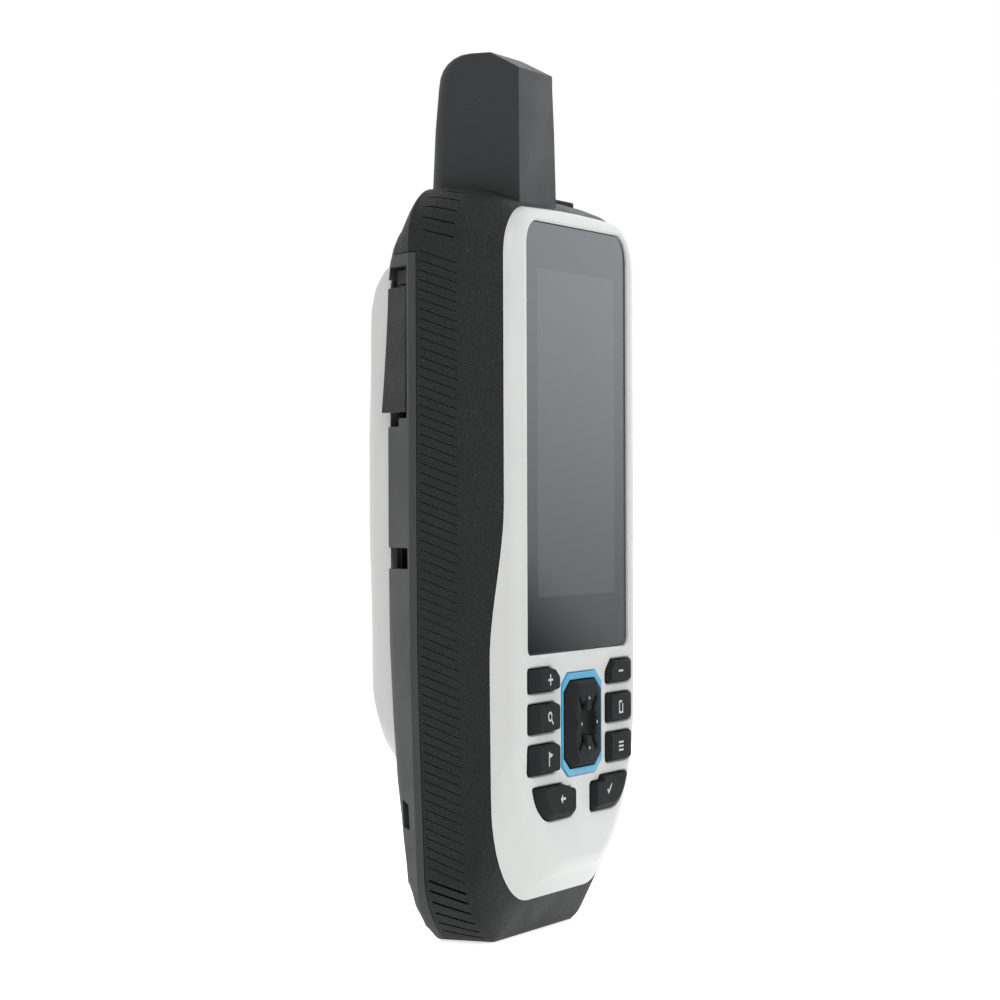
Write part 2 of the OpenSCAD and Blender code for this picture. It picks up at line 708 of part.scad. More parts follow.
module power_key() color(BLACK) translate([power_x, power_y, 0]) {
  translate([0, 0, body_h - 4.4]) linear_extrude(height = 4.2) rounded_rect(power_w, power_d, 3);
  translate([0, 0, body_h - 5]) linear_extrude(height = 0.8)
    rounded_rect(power_w + 1, power_d + 1, 3.2);
  translate([0, 0, body_h - 6]) cylinder(r = 1.5, h = 1.2);
}

module power_seal() color(SILICONE) translate([power_x, power_y, body_h - 7.6])
  linear_extrude(height = 0.6) difference() {
    rounded_rect(power_w + 2, power_d + 2, 3.4);
    circle(2.6);
  }

module power_switch() color(STEEL) translate([power_x, power_y, 0]) {
  translate([-3, -2, body_h - 10.5]) cube([6, 4, 2.9]);
  translate([0, 0, body_h - 7.6]) cylinder(r = 1.2, h = 0.9);
}

front_cover();
display_window();
window_gasket();
lcd_panel();
lcd_tray();
display_flex();
keypad_ring();
key_zoom_in();
key_zoom_out();
key_find();
key_page();
key_mark();
key_menu();
key_quit();
key_enter();
rocker_pad();
rocker_pivot();
keypad_membrane();
dome_sheet();
main_board();
board_chips();
shield_cans();
board_screws();
front_screws();
grip_frame();
perimeter_seal();
rear_cover();
back_shell();
back_seal();
mount_spine();
rear_screws();
weather_cap();
cap_tether();
usb_connector();
port_board();
port_flex();
battery_pack();
battery_pad();
battery_plug();
buzzer();
vent_membrane();
antenna_cover();
antenna_core();
antenna_element();
antenna_seal();
antenna_lead();
power_key();
power_seal();
power_switch();
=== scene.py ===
"""Looks of a rugged handheld navigation receiver: white front cover and back shell, black rubber
grips, stub antenna, keypad and a display window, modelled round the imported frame.
Sizes are millimetres in the frame's axes: X to the right, -Y the display side, Z up."""

import json
import math

import bmesh
import bpy
from mathutils import Matrix, Vector


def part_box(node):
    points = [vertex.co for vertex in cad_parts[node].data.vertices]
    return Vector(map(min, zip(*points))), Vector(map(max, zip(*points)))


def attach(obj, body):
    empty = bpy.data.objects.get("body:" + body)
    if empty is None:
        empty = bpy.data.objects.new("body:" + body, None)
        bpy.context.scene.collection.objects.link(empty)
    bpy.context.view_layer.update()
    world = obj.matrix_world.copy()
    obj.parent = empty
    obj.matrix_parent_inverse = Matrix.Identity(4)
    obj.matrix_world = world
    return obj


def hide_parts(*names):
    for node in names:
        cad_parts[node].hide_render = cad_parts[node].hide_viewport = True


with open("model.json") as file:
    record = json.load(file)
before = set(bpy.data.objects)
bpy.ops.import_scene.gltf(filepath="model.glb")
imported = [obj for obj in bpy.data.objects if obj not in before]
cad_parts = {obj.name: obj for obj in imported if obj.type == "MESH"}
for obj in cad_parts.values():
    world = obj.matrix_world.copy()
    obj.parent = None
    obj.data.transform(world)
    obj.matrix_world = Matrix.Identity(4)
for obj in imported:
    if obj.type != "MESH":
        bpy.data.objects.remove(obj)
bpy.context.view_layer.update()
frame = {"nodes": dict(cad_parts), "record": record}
MM = 0.001

# ---- camera: level, looking across the left side, so the display is seen at a slant ----

VIEW_TURN = math.radians(65.305)  # from looking straight at the display towards its left side
VIEW_TILT = math.radians(0.041)
VIEW_ROLL = math.radians(-0.194)
VIEW_DISTANCE = 644.855
VIEW_AIM = Vector((-6.26, -4.99, 88.33))
VIEW_LENS = 113.87
SENSOR = 36


def make_camera():
    """Long-lens camera aimed at the middle of the body."""
    sight = Vector((math.sin(VIEW_TURN) * math.cos(VIEW_TILT),
                    math.cos(VIEW_TURN) * math.cos(VIEW_TILT), -math.sin(VIEW_TILT)))
    camera = bpy.data.objects.new("camera", bpy.data.cameras.new("camera"))
    bpy.context.scene.collection.objects.link(camera)
    camera.data.lens = VIEW_LENS
    camera.data.sensor_width = SENSOR
    camera.data.clip_start, camera.data.clip_end = 0.05, 20
    turn = sight.to_track_quat("-Z", "Y").to_matrix().to_4x4()
    camera.matrix_world = (Matrix.Translation((VIEW_AIM - sight * VIEW_DISTANCE) * MM) @ turn
                           @ Matrix.Rotation(VIEW_ROLL, 4, "Z"))
    bpy.context.scene.camera = camera


make_camera()

# ---- driving sizes, read from the frame ----


def span(node):
    """Lowest and highest corner of a CAD node, in millimetres."""
    low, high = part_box(node)
    return low / MM, high / MM


GRIP_HIGH = span("grip_frame")[1]
COVER_LOW = span("front_cover")[0]
REAR_LOW, REAR_HIGH = span("rear_cover")
SHELL_HIGH = span("back_shell")[1]
WINDOW_LOW, WINDOW_HIGH = span("display_window")
LCD_LOW, LCD_HIGH = span("lcd_panel")
RING_LOW, RING_HIGH = span("keypad_ring")
ROCKER_LOW, ROCKER_HIGH = span("rocker_pad")
ANTENNA_LOW, ANTENNA_HIGH = span("antenna_cover")
POWER_LOW, POWER_HIGH = span("power_key")
SPINE_LOW, SPINE_HIGH = span("mount_spine")

HALF = GRIP_HIGH.x
HEIGHT = GRIP_HIGH.z
FRONT = COVER_LOW.y
BACK = REAR_HIGH.y
PARTING = (GRIP_HIGH.y + REAR_LOW.y) / 2
SEAM = REAR_LOW.y - PARTING
COVER_WALL = 1.6
WALL = 1.8
WAIST = 65  # the sides taper below this height
TAPER = 4.1
CROWN = 0.4
CORNER = 11.5  # radius of the body's upper corners
WRAP_Z = 137.3  # above this height the grip frame wraps round to the back

# ---- modelling helpers ----


def deselect():
    if bpy.context.mode != "OBJECT":
        bpy.ops.object.mode_set(mode="OBJECT")
    bpy.ops.object.select_all(action="DESELECT")


def take(piece):
    """Makes the piece the only one selected, and the active one."""
    deselect()
    piece.select_set(True)
    bpy.context.view_layer.objects.active = piece


def edit(piece, kind="FACE"):
    take(piece)
    bpy.ops.object.mode_set(mode="EDIT")
    bpy.ops.mesh.select_mode(type=kind)


def rest_in_place(piece):
    """Puts the piece's place and turn into its mesh."""
    take(piece)
    bpy.ops.object.transform_apply(location=True, rotation=True, scale=True)
    return piece


def block(name, low, high, turn=0.0, origin=(0, 0, 0)):
    """Box between two corners, in a frame turned about Z and moved to an origin."""
    deselect()
    low, high = Vector(low), Vector(high)
    spin = Matrix.Rotation(turn, 3, "Z")
    middle = Vector(origin) + spin @ ((low + high) / 2)
    bpy.ops.mesh.primitive_cube_add(size=1, location=middle * MM, rotation=(0, 0, turn),
                                    scale=(high - low) * MM)
    piece = bpy.context.active_object
    piece.name = name
    return rest_in_place(piece)


def rod(name, radius, start, end, sides=32):
    """Round bar from one point to another."""
    deselect()
    start, end = Vector(start), Vector(end)
    aim = (end - start).to_track_quat("Z", "Y").to_euler()
    bpy.ops.mesh.primitive_cylinder_add(vertices=sides, radius=radius * MM,
                                        depth=(end - start).length * MM,
                                        location=(start + end) / 2 * MM, rotation=aim)
    piece = bpy.context.active_object
    piece.name = name
    return rest_in_place(piece)


def draw(name, points, place):
    """Closed face drawn by pulling one corner from point to point. The piece stays in edit mode."""
    deselect()
    at = place(*points[0]) * MM
    bpy.ops.mesh.primitive_plane_add(size=MM, location=at)
    piece = bpy.context.active_object
    piece.name = name
    bpy.ops.object.transform_apply(location=True, rotation=True, scale=True)
    edit(piece, "VERT")
    bpy.ops.mesh.select_all(action="SELECT")
    bpy.ops.mesh.merge(type="CENTER")
    for point in points[1:]:
        to = place(*point) * MM
        bpy.ops.mesh.extrude_vertices_move(TRANSFORM_OT_translate={"value": to - at})
        at = to
    bpy.ops.mesh.select_all(action="SELECT")
    bpy.ops.mesh.edge_face_add()
    bpy.ops.mesh.select_mode(type="FACE")
    return piece


def pull():
    """Extrudes the selected face in place, ready to be moved."""
    bpy.ops.mesh.extrude_region_move(TRANSFORM_OT_translate={"value": (0, 0, 0)})


def close(piece):
    """Merges doubles, points every face outwards and leaves edit mode."""
    bpy.ops.mesh.select_all(action="SELECT")
    bpy.ops.mesh.remove_doubles(threshold=MM * 0.002)
    bpy.ops.mesh.normals_make_consistent(inside=False)
    bpy.ops.object.mode_set(mode="OBJECT")
    return piece


def facing(x, z):
    """Outline coordinates on a plane that faces the front."""
    return Vector((x, 0, z))


def from_above(x, y):
    return Vector((x, y, 0))


def loft(name, rings):
    """Surface bridged from outline to outline, front to back, each given as (depth, points)."""
    loops = []
    for depth, points in rings:
        loops.append(draw("ring", points, lambda x, z, y=depth: Vector((x, y, z))))
        bpy.ops.mesh.delete(type="ONLY_FACE")
        bpy.ops.object.mode_set(mode="OBJECT")
    piece = join(name, loops)
    edit(piece, "EDGE")
    bpy.ops.mesh.select_all(action="SELECT")
    bpy.ops.mesh.bridge_edge_loops()
    bpy.ops.mesh.select_all(action="SELECT")
    bpy.ops.mesh.fill_holes(sides=0)
    return close(piece)


def layers(name, outline, centre, steps):
    """Outline carried along Y in steps of (depth, width scale, height scale) about a centre."""
    piece = draw(name, outline, facing)
    depth, wide, tall = 0, 1, 1
    for number, (y, sx, sz) in enumerate(steps):
        if number:
            pull()
        bpy.ops.transform.translate(value=(0, (y - depth) * MM, 0))
        bpy.ops.transform.resize(value=(sx / wide, 1, sz / tall),
                                 center_override=Vector((centre[0], y, centre[1])) * MM)
        depth, wide, tall = y, sx, sz
    return close(piece)


def slab(name, outline, y0, y1):
    return layers(name, outline, (0, 0), [(y0, 1, 1), (y1, 1, 1)])


def trim(piece, point, normal):
    """Cuts a piece flat and keeps the side that the normal points away from."""
    edit(piece)
    bpy.ops.mesh.select_all(action="SELECT")
    bpy.ops.mesh.bisect(plane_co=Vector(point) * MM, plane_no=Vector(normal).normalized(),
                        use_fill=True, clear_outer=True)
    return close(piece)


def twin(piece, name):
    take(piece)
    bpy.ops.object.duplicate()
    copy = bpy.context.active_object
    copy.name = name
    return copy


def other_side(piece, name):
    """Mirrored copy on the other side of the middle."""
    copy = twin(piece, name)
    copy.scale.x = -1
    rest_in_place(copy)
    edit(copy)
    return close(copy)


def join(name, pieces):
    deselect()
    for piece in pieces:
        piece.select_set(True)
    bpy.context.view_layer.objects.active = pieces[0]
    if len(pieces) > 1:
        bpy.ops.object.join()
    whole = bpy.context.active_object
    whole.name = name
    return whole


def modify(piece, kind, **settings):
    """Adds a modifier with its settings and applies it."""
    take(piece)
    bpy.ops.object.modifier_add(type=kind)
    change = piece.modifiers[-1]
    for key, value in settings.items():
        setattr(change, key, value)
    bpy.ops.object.modifier_apply(modifier=change.name)
    return piece


def carve(piece, tool, how="DIFFERENCE", keep=False):
    """Cuts, joins or keeps what is common with a tool, which is thrown away unless it is kept."""
    modify(piece, "BOOLEAN", operation=how, object=tool, solver="EXACT")
    if not keep:
        bpy.data.objects.remove(tool)
    return piece


def soften(piece, width, angle=30, segments=3):
    """Rounds the edges that are sharper than an angle."""
    return modify(piece, "BEVEL", width=width * MM, segments=segments, limit_method="ANGLE",
                  angle_limit=math.radians(angle), use_clamp_overlap=True, harden_normals=False)


def settle(piece, finish, body, slot, *nodes, smooth=32):
    """Shades and finishes the piece, ties it to its body and hides the nodes it stands for."""
    take(piece)
    bpy.ops.object.shade_smooth_by_angle(angle=math.radians(smooth))
    modify(piece, "WEIGHTED_NORMAL", keep_sharp=True)
    piece.data.materials.clear()
    piece.data.materials.append(finish)
    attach(piece, body)
    if nodes:
        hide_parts(*nodes)
    return piece


# ---- outlines, as (x, z) points ----


def arc(cx, cz, rx, rz, start, end, steps=10, power=1.0):
    """Stretch of an ellipse; a power above 1 flattens it towards a chamfer."""
    points = []
    for i in range(steps + 1):
        a = math.radians(start + (end - start) * i / steps)
        c, s = math.cos(a), math.sin(a)
        points.append((cx + rx * math.copysign(abs(c) ** power, c),
                       cz + rz * math.copysign(abs(s) ** power, s)))
    return points


def both_halves(right):
    """Closed outline from its right half, given from the bottom up."""
    return right + [(-x, z) for x, z in reversed(right)]


def flip(points):
    return [(-x, z) for x, z in reversed(points)]


def rounded(cx, cz, w, h, r, steps=5):
    """Rectangle with round corners."""
    x, z = w / 2 - r, h / 2 - r
    corners = [(x, -z, -90), (x, z, 0), (-x, z, 90), (-x, -z, 180)]
    return [p for sx, sz, a in corners for p in arc(cx + sx, cz + sz, r, r, a, a + 90, steps)]


def side(z, half):
    return half - TAPER * (max(0.0, WAIST - z) / WAIST) ** 1.3


def body_outline(half, low, high, foot, low_r, top_r, power, taper):
    """Outline of the body at one depth, always with the same count of points."""
    def wall(z):
        return half - taper * (max(0.0, WAIST - z) / WAIST) ** 1.3

    start, top = low + low_r, high - CROWN - top_r
    right = arc(foot, start, wall(start) - foot, low_r, -90, 0, 12, power)
    heights = [start + (top - start) * k for k in (0.06, 0.14, 0.24, 0.36, 0.6)]
    right += [(wall(z), z) for z in heights]
    right += arc(half - top_r, top, top_r, top_r, 0, 90, 10)
    right += [((half - top_r) * k, high - CROWN * k * k) for k in (0.6, 0.2)]
    return both_halves(right)


EDGE_LOW, EDGE_HIGH = -14.45, -17.2  # depth of the front cover's edge at the keys and above them
SWEEP_Z, SWEEP = 56, 32  # height where the edge starts to sweep from one to the other, and its run
SWEEP_STEPS = 12


def cover_edge(z):
    share = min(1.0, max(0.0, (z - SWEEP_Z) / SWEEP))
    return EDGE_LOW + (EDGE_HIGH - EDGE_LOW) * share * share * (3 - 2 * share)


def cover_room(gap=0.0):
    """Everything in front of the cover's edge, a gap further back where the grips clear it."""
    heights = [-5] + [SWEEP_Z + i * SWEEP / SWEEP_STEPS for i in range(SWEEP_STEPS + 1)] + [160]
    points = [(cover_edge(z) + gap, z) for z in heights] + [(FRONT - 4, 160), (FRONT - 4, -5)]
    room = draw("cover_room", points, lambda y, z: Vector((-45, y, z)))
    pull()
    bpy.ops.transform.translate(value=(90 * MM, 0, 0))
    return close(room)


def window_outline(grow):
    """Window: round upper corners and tight lower ones."""
    w, low, high = WINDOW_HIGH.x + grow, WINDOW_LOW.z - grow, WINDOW_HIGH.z + grow
    low_r, top_r = 2 + grow, 5.5 + grow
    right = arc(w - low_r, low + low_r, low_r, low_r, -90, 0, 6)
    right += arc(w - top_r, high - top_r, top_r, top_r, 0, 90, 12)
    return both_halves(right)


KEY_IN, KEY_OUT = 12.7, 26.4
ROWS = {name: (span(name)[0].z + 0.6, span(name)[1].z - 0.6)
        for name in ("key_zoom_out", "key_page", "key_menu")}
SWEPT_ROW = (24.5, 31.3)
ROCKER_Z = (RING_LOW.z + RING_HIGH.z) / 2
RING_EDGE = 0.8  # how far the ring's flange reaches past what shows, on each side
RING_W = RING_HIGH.x * 2 - 2 * RING_EDGE
RING_H = RING_HIGH.z - RING_LOW.z - 2 * RING_EDGE


def key_outline(row, grow):
    return rounded((KEY_IN + KEY_OUT) / 2, (row[0] + row[1]) / 2,
                   KEY_OUT - KEY_IN + 2 * grow, row[1] - row[0] + 2 * grow, 0.9 + grow / 2, 4)


def zoom_outline(row, grow):
    """Key whose upper inner corner is cut off towards the ring."""
    g, r = grow, 0.9 + grow / 2
    low, high = row[0] - g, row[1] + g
    left, right = KEY_IN - g, KEY_OUT + g
    return (arc(right - r, low + r, r, r, -90, 0, 4) + arc(right - r, high - r, r, r, 0, 90, 4)
            + [(left + 3.0, high), (left + 0.3, low + 2.9), (left, low + 2.2)]
            + arc(left + r, low + r, r, r, 180, 270, 4))


def swept_outline(row, grow):
    """Lowest key: swept outer edge, stepped upper edge."""
    g, (low, high) = grow, row
    return ([(5.6 - g, low - g)] + arc(15, 33.2, 9.3 + g, 8.7 + g, -84, -24, 10)
            + [(24.1 + g, 30.8 + g), (23.6 + g, high + g), (10.2 - g, high + g),
               (9.2 - g, 30.3 + g), (5.6 - g, 30.3 + g), (4.85 - g, 29.6 + g),
               (4.85 - g, 25.2 - g)])


def octagon(w, h, cut_x=3.2, cut_z=2.3):
    """Octagon round the rocker's middle."""
    x, z = w / 2, h / 2
    right = [(x - cut_x, -z), (x, -z + cut_z), (x, z - cut_z), (x - cut_x, z)]
    return [(px, pz + ROCKER_Z) for px, pz in both_halves(right)]


# ---- body forms ----

SHOULDER = (27.0, 4.0, 3.0)  # half width where it starts, its width and its depth
STRIP_START = Vector((HALF - 0.9, 2.5))  # the strip is the chamfer between each side and the back
STRIP_END = Vector((HALF - 7.9, BACK))
STRIP_W = (STRIP_END - STRIP_START).length
STRIP_RUN = (STRIP_END.y - STRIP_START.y) / STRIP_W
STRIP_RISE = (STRIP_START.x - STRIP_END.x) / STRIP_W
STRIP_TURN = math.atan2(STRIP_RUN, STRIP_RISE)
STRIP_SPIN = Matrix.Rotation(STRIP_TURN, 3, "Z")
STRIP_ORIGIN = Vector((-STRIP_START.x, STRIP_START.y, 0))
REAR_RINGS = [  # depth, bottom and top of the back's rounding, radius of its upper corners
    (3.4, 2.8, HEIGHT - 0.5, 11.5), (4.5, 6.8, HEIGHT - 1.4, 11.5), (6.0, 12.0, HEIGHT - 3.6, 10.5),
    (6.6, 16.0, HEIGHT - 4.9, 9.5), (7.1, 19.5, HEIGHT - 6.2, 8.5), (8.0, 25.5, HEIGHT - 7.8, 6.5),
    (8.9, 32.5, HEIGHT - 9.8, 5.0), (9.8, 45.0, HEIGHT - 12.5, 4.0),
    (BACK, 60.0, HEIGHT - 19.0, 3.0)]


def body_rings(t):
    """Rings of the body from the front face to the back, smaller all round by t."""
    start, width, depth = SHOULDER
    rings = []
    for a in (90, 78, 66, 54, 42, 30, 18, 0):
        c, s = math.cos(math.radians(a)), math.sin(math.radians(a))
        u = 0.27 * c + depth * (1 - s) / 11
        rings.append((FRONT + depth - depth * s, start + width * c, 16 - 7.4 * u,
                      HEIGHT - 7.0 + 2.8 * c, 8 + 6 * u, 30 - 8 * u, 8 + 2 * c,
                      1.25 - 0.25 * u, 0.8))
    rings.append((-14.7, 31.95, 8.6, HEIGHT - 2.7, 14, 22, 9.5, 1, 0.9))
    rings += [(y, half, low, high, 19, 13, top_r, 1.3, TAPER) for y, half, low, high, top_r in (
        (-10.2, 33.5, 0.95, HEIGHT - 1.0, 9.7), (-9.3, 33.8, 0.1, HEIGHT - 0.75, 9.8),
        (-8.3, HALF, 0, HEIGHT - 0.6, 10), (-2.4, HALF - 0.45, 0, HEIGHT, 10.3),
        (PARTING, HALF - 0.72, 0, HEIGHT, CORNER), (STRIP_START.y, STRIP_START.x, 0, HEIGHT,
                                                    CORNER))]
    made = []
    for y, half, low, high, foot, low_r, top_r, power, taper in rings:
        ahead = y + t * min(1.0, max(0.0, (-8.3 - y) / 6))
        made.append((ahead, body_outline(half - t, low + t, high - t, foot - t, low_r,
                                         top_r - t / 2, power, taper)))
    for y, low, high, top_r in REAR_RINGS:
        half = STRIP_START.x - (y - STRIP_START.y) * STRIP_RISE / STRIP_RUN
        behind = y - t * min(1.0, (y - STRIP_START.y) / 4)
        points = body_outline(half - t, t, high - t, 19 - t, 13, max(top_r - t / 2, 2.0), 1.3,
                              TAPER)
        made.append((behind, [(x, max(z, low + t)) for x, z in points]))
    return made


def body_form(name, t=0.0):
    """Whole outer form of the body, smaller all round by t."""
    return loft(name, body_rings(t))


# ---- node groups ----


def plug(tree, node, inputs):
    """Sets a node's inputs, each from a value or from the output that feeds it."""
    for key, value in inputs.items():
        if isinstance(value, bpy.types.NodeSocket):
            tree.links.new(value, node.inputs[key])
        else:
            node.inputs[key].default_value = value
    return node


def add(tree, kind, inputs=None, **settings):
    """New node with its settings and inputs."""
    made = tree.nodes.new(kind)
    for key, value in settings.items():
        setattr(made, key, value)
    return plug(tree, made, inputs or {})


def maths(tree, operation, a, b=0.0, c=0.0, clamp=False):
    return add(tree, "ShaderNodeMath", {0: a, 1: b, 2: c}, operation=operation,
               use_clamp=clamp).outputs[0]


def ramp(tree, value, low, high, to_low=0.0, to_high=1.0):
    """Value taken smoothly from one range to another."""
    return add(tree, "ShaderNodeMapRange",
               {"Value": value, "From Min": low, "From Max": high, "To Min": to_low,
                "To Max": to_high}, interpolation_type="SMOOTHSTEP").outputs["Result"]


def tint(tree, fac, a, b):
    """Colour between two colours."""
    return add(tree, "ShaderNodeMix", {0: fac, 6: a, 7: b}, data_type="RGBA").outputs[2]


def new_group(name, inputs, outputs):
    """Empty node group; inputs are (name, kind, default) and outputs are names of values."""
    tree = bpy.data.node_groups.new(name, "ShaderNodeTree")
    for label, kind, default in inputs:
        socket = tree.interface.new_socket(name=label, in_out="INPUT",
                                           socket_type="NodeSocket" + kind)
        if default is not None:
            socket.default_value = default
    for label in outputs:
        tree.interface.new_socket(name=label, in_out="OUTPUT", socket_type="NodeSocketFloat")
    return tree, tree.nodes.new("NodeGroupInput"), tree.nodes.new("NodeGroupOutput")


def build_grain():
    """Moulded grain: cells with soft valleys, broken up by fine noise."""
    tree, given, out = new_group("moulded_grain", [("Vector", "Vector", None),
                                                   ("Size", "Float", 2000.0),
                                                   ("Wrinkle", "Float", 0.5)], ["Height", "Tone"])
    warp = add(tree, "ShaderNodeTexNoise", {"Vector": given.outputs[0], "Scale": 900.0,
                                            "Detail": 2.0})
    shift = add(tree, "ShaderNodeVectorMath", {0: warp.outputs["Color"], 1: (0.5, 0.5, 0.5)},
                operation="SUBTRACT")
    small = add(tree, "ShaderNodeVectorMath", {0: shift.outputs[0], "Scale": 0.5 * MM},
                operation="SCALE")
    bent = add(tree, "ShaderNodeVectorMath", {0: given.outputs[0], 1: small.outputs[0]},
               operation="ADD").outputs[0]
    cells = add(tree, "ShaderNodeTexVoronoi", {"Vector": bent, "Scale": given.outputs[1]},
                feature="DISTANCE_TO_EDGE")
    valley = ramp(tree, cells.outputs["Distance"], 0.0, 0.28)
    double = maths(tree, "MULTIPLY", given.outputs[1], 1.7)
    noise = add(tree, "ShaderNodeTexNoise", {"Vector": bent, "Scale": double, "Detail": 3.0})
    mixed = add(tree, "ShaderNodeMix", {0: given.outputs[2], 2: noise.outputs["Fac"], 3: valley})
    tree.links.new(mixed.outputs[0], out.inputs[0])
    tree.links.new(noise.outputs["Fac"], out.inputs[1])
    return tree


def build_dust():
    """Sparse pale specks, one or two tenths of a millimetre across."""
    tree, given, out = new_group("dust_specks", [("Vector", "Vector", None),
                                                 ("Amount", "Float", 0.5)], ["Mask"])
    total = None
    for scale, size in ((420.0, 0.045), (900.0, 0.055)):
        cells = add(tree, "ShaderNodeTexVoronoi", {"Vector": given.outputs[0], "Scale": scale})
        near = ramp(tree, cells.outputs["Distance"], size, size * 0.4)
        parts = add(tree, "ShaderNodeSeparateColor", {0: cells.outputs["Color"]})
        chosen = maths(tree, "LESS_THAN", parts.outputs[0], given.outputs[1])
        speck = maths(tree, "MULTIPLY", near, chosen)
        total = speck if total is None else maths(tree, "MAXIMUM", total, speck)
    tree.links.new(total, out.inputs[0])
    return tree


def build_patches():
    """Slow unevenness of a moulded or handled surface, from -1 to 1."""
    tree, given, out = new_group("patches", [("Vector", "Vector", None), ("Size", "Float", 60.0)],
                                 ["Value"])
    noise = add(tree, "ShaderNodeTexNoise", {"Vector": given.outputs[0], "Scale": given.outputs[1],
                                             "Detail": 4.0, "Roughness": 0.6})
    tree.links.new(ramp(tree, noise.outputs["Fac"], 0.3, 0.7, -1.0, 1.0), out.inputs[0])
    return tree


GRAIN = build_grain()
DUST = build_dust()
PATCHES = build_patches()


def use(tree, group, **inputs):
    return add(tree, "ShaderNodeGroup", inputs, node_tree=group)


# ---- materials ----


def start_material(name):
    material = bpy.data.materials.new(name)
    material.use_nodes = True
    tree = material.node_tree
    shader = tree.nodes["Principled BSDF"]
    place = add(tree, "ShaderNodeTexCoord").outputs["Object"]
    return material, tree, shader, place


def moulded(name, colour, rough, grain=2600.0, wrinkle=0.3, depth=0.006, dust=0.0, uneven=0.06,
            coat=0.0, specular=0.5, fleck=0.1, dust_tint=0.45, ior=1.5):
    """Moulded or rolled surface: grain in the bump and the colour, patches in the roughness,
    and specks of dust that are paler and rougher."""
    material, tree, shader, place = start_material(name)
    surface = use(tree, GRAIN, Vector=place, Size=grain, Wrinkle=wrinkle)
    patches = use(tree, PATCHES, Vector=place, Size=70.0)
    specks = use(tree, DUST, Vector=place, Amount=dust)
    dark = [c * (1 - fleck) for c in colour] + [1]
    light = [min(1, c * (1 + fleck)) for c in colour] + [1]
    base = tint(tree, surface.outputs["Tone"], dark, light)
    handled = tint(tree, maths(tree, "MULTIPLY_ADD", patches.outputs[0], 0.06, 0.06), base,
                   [min(1, c * 1.35 + 0.004) for c in colour] + [1])
    dusty = tint(tree, specks.outputs[0], handled, (dust_tint, dust_tint, dust_tint * 0.98, 1))
    roughness = maths(tree, "MULTIPLY_ADD", patches.outputs[0], uneven, rough)
    roughness = maths(tree, "MULTIPLY_ADD", surface.outputs["Tone"], 0.06, roughness)
    height = maths(tree, "MULTIPLY_ADD", specks.outputs[0], 0.5, surface.outputs["Height"])
    bump = add(tree, "ShaderNodeBump", {"Strength": 1.0, "Distance": depth * MM,
                                        "Height": height})
    plug(tree, shader, {"Base Color": dusty, "Normal": bump.outputs[0],
                        "Roughness": maths(tree, "MAXIMUM", roughness, specks.outputs[0]),
                        "Coat Weight": coat, "Coat Roughness": 0.2,
                        "Specular IOR Level": specular, "IOR": ior})
    return material


def box_mask(tree, place, x, low, high, blur):
    """One inside a rectangle of half width x between two heights, in metres."""
    parts = add(tree, "ShaderNodeSeparateXYZ", {0: place})
    across = ramp(tree, maths(tree, "ABSOLUTE", parts.outputs["X"]), x + blur, x - blur)
    above = ramp(tree, parts.outputs["Z"], low - blur, low + blur)
    below = ramp(tree, parts.outputs["Z"], high + blur, high - blur)
    return maths(tree, "MULTIPLY", across, maths(tree, "MULTIPLY", above, below))


def window_glass():
    """Hard clear window over a black printed border and the sleeping panel behind it."""
    material, tree, shader, place = start_material("window_glass")
    margin = 1.9
    panel = box_mask(tree, place, (LCD_HIGH.x - margin) * MM, (LCD_LOW.z + 2.5) * MM,
                     (LCD_HIGH.z - 2.5) * MM, 0.00006)
    patches = use(tree, PATCHES, Vector=place, Size=30.0)
    specks = use(tree, DUST, Vector=place, Amount=0.02)
    rows = add(tree, "ShaderNodeTexNoise", {"Vector": place, "Scale": 5000.0, "Detail": 1.0})
    lit = tint(tree, rows.outputs["Fac"], (0.026, 0.028, 0.029, 1), (0.034, 0.036, 0.037, 1))
    base = tint(tree, panel, (0.0055, 0.0057, 0.006, 1), lit)
    rough = maths(tree, "MULTIPLY_ADD", patches.outputs[0], 0.006, 0.035)
    plug(tree, shader, {"Base Color": tint(tree, specks.outputs[0], base, (0.3, 0.3, 0.3, 1)),
                        "Roughness": maths(tree, "MULTIPLY_ADD", specks.outputs[0], 0.3, rough),
                        "IOR": 1.5})
    return material


def circuit_board():
    """Green solder mask over copper tracks that show as slightly lighter lines."""
    material, tree, shader, place = start_material("circuit_board")
    cells = add(tree, "ShaderNodeTexVoronoi", {"Vector": place, "Scale": 450.0},
                feature="F1", distance="CHEBYCHEV")
    tracks = ramp(tree, maths(tree, "PINGPONG", cells.outputs["Distance"], 0.11), 0.03, 0.05)
    grain = use(tree, GRAIN, Vector=place, Size=3500.0, Wrinkle=0.2)
    mask = tint(tree, tracks, (0.012, 0.11, 0.055, 1), (0.02, 0.2, 0.1, 1))
    grainy = maths(tree, "MULTIPLY", grain.outputs["Tone"], 0.3)
    bump = add(tree, "ShaderNodeBump", {"Distance": 0.03 * MM, "Height": tracks})
    plug(tree, shader, {"Base Color": tint(tree, grainy, mask, (0.01, 0.08, 0.04, 1)),
                        "Normal": bump.outputs[0],
                        "Roughness": ramp(tree, tracks, 0, 1, 0.38, 0.3)})
    return material


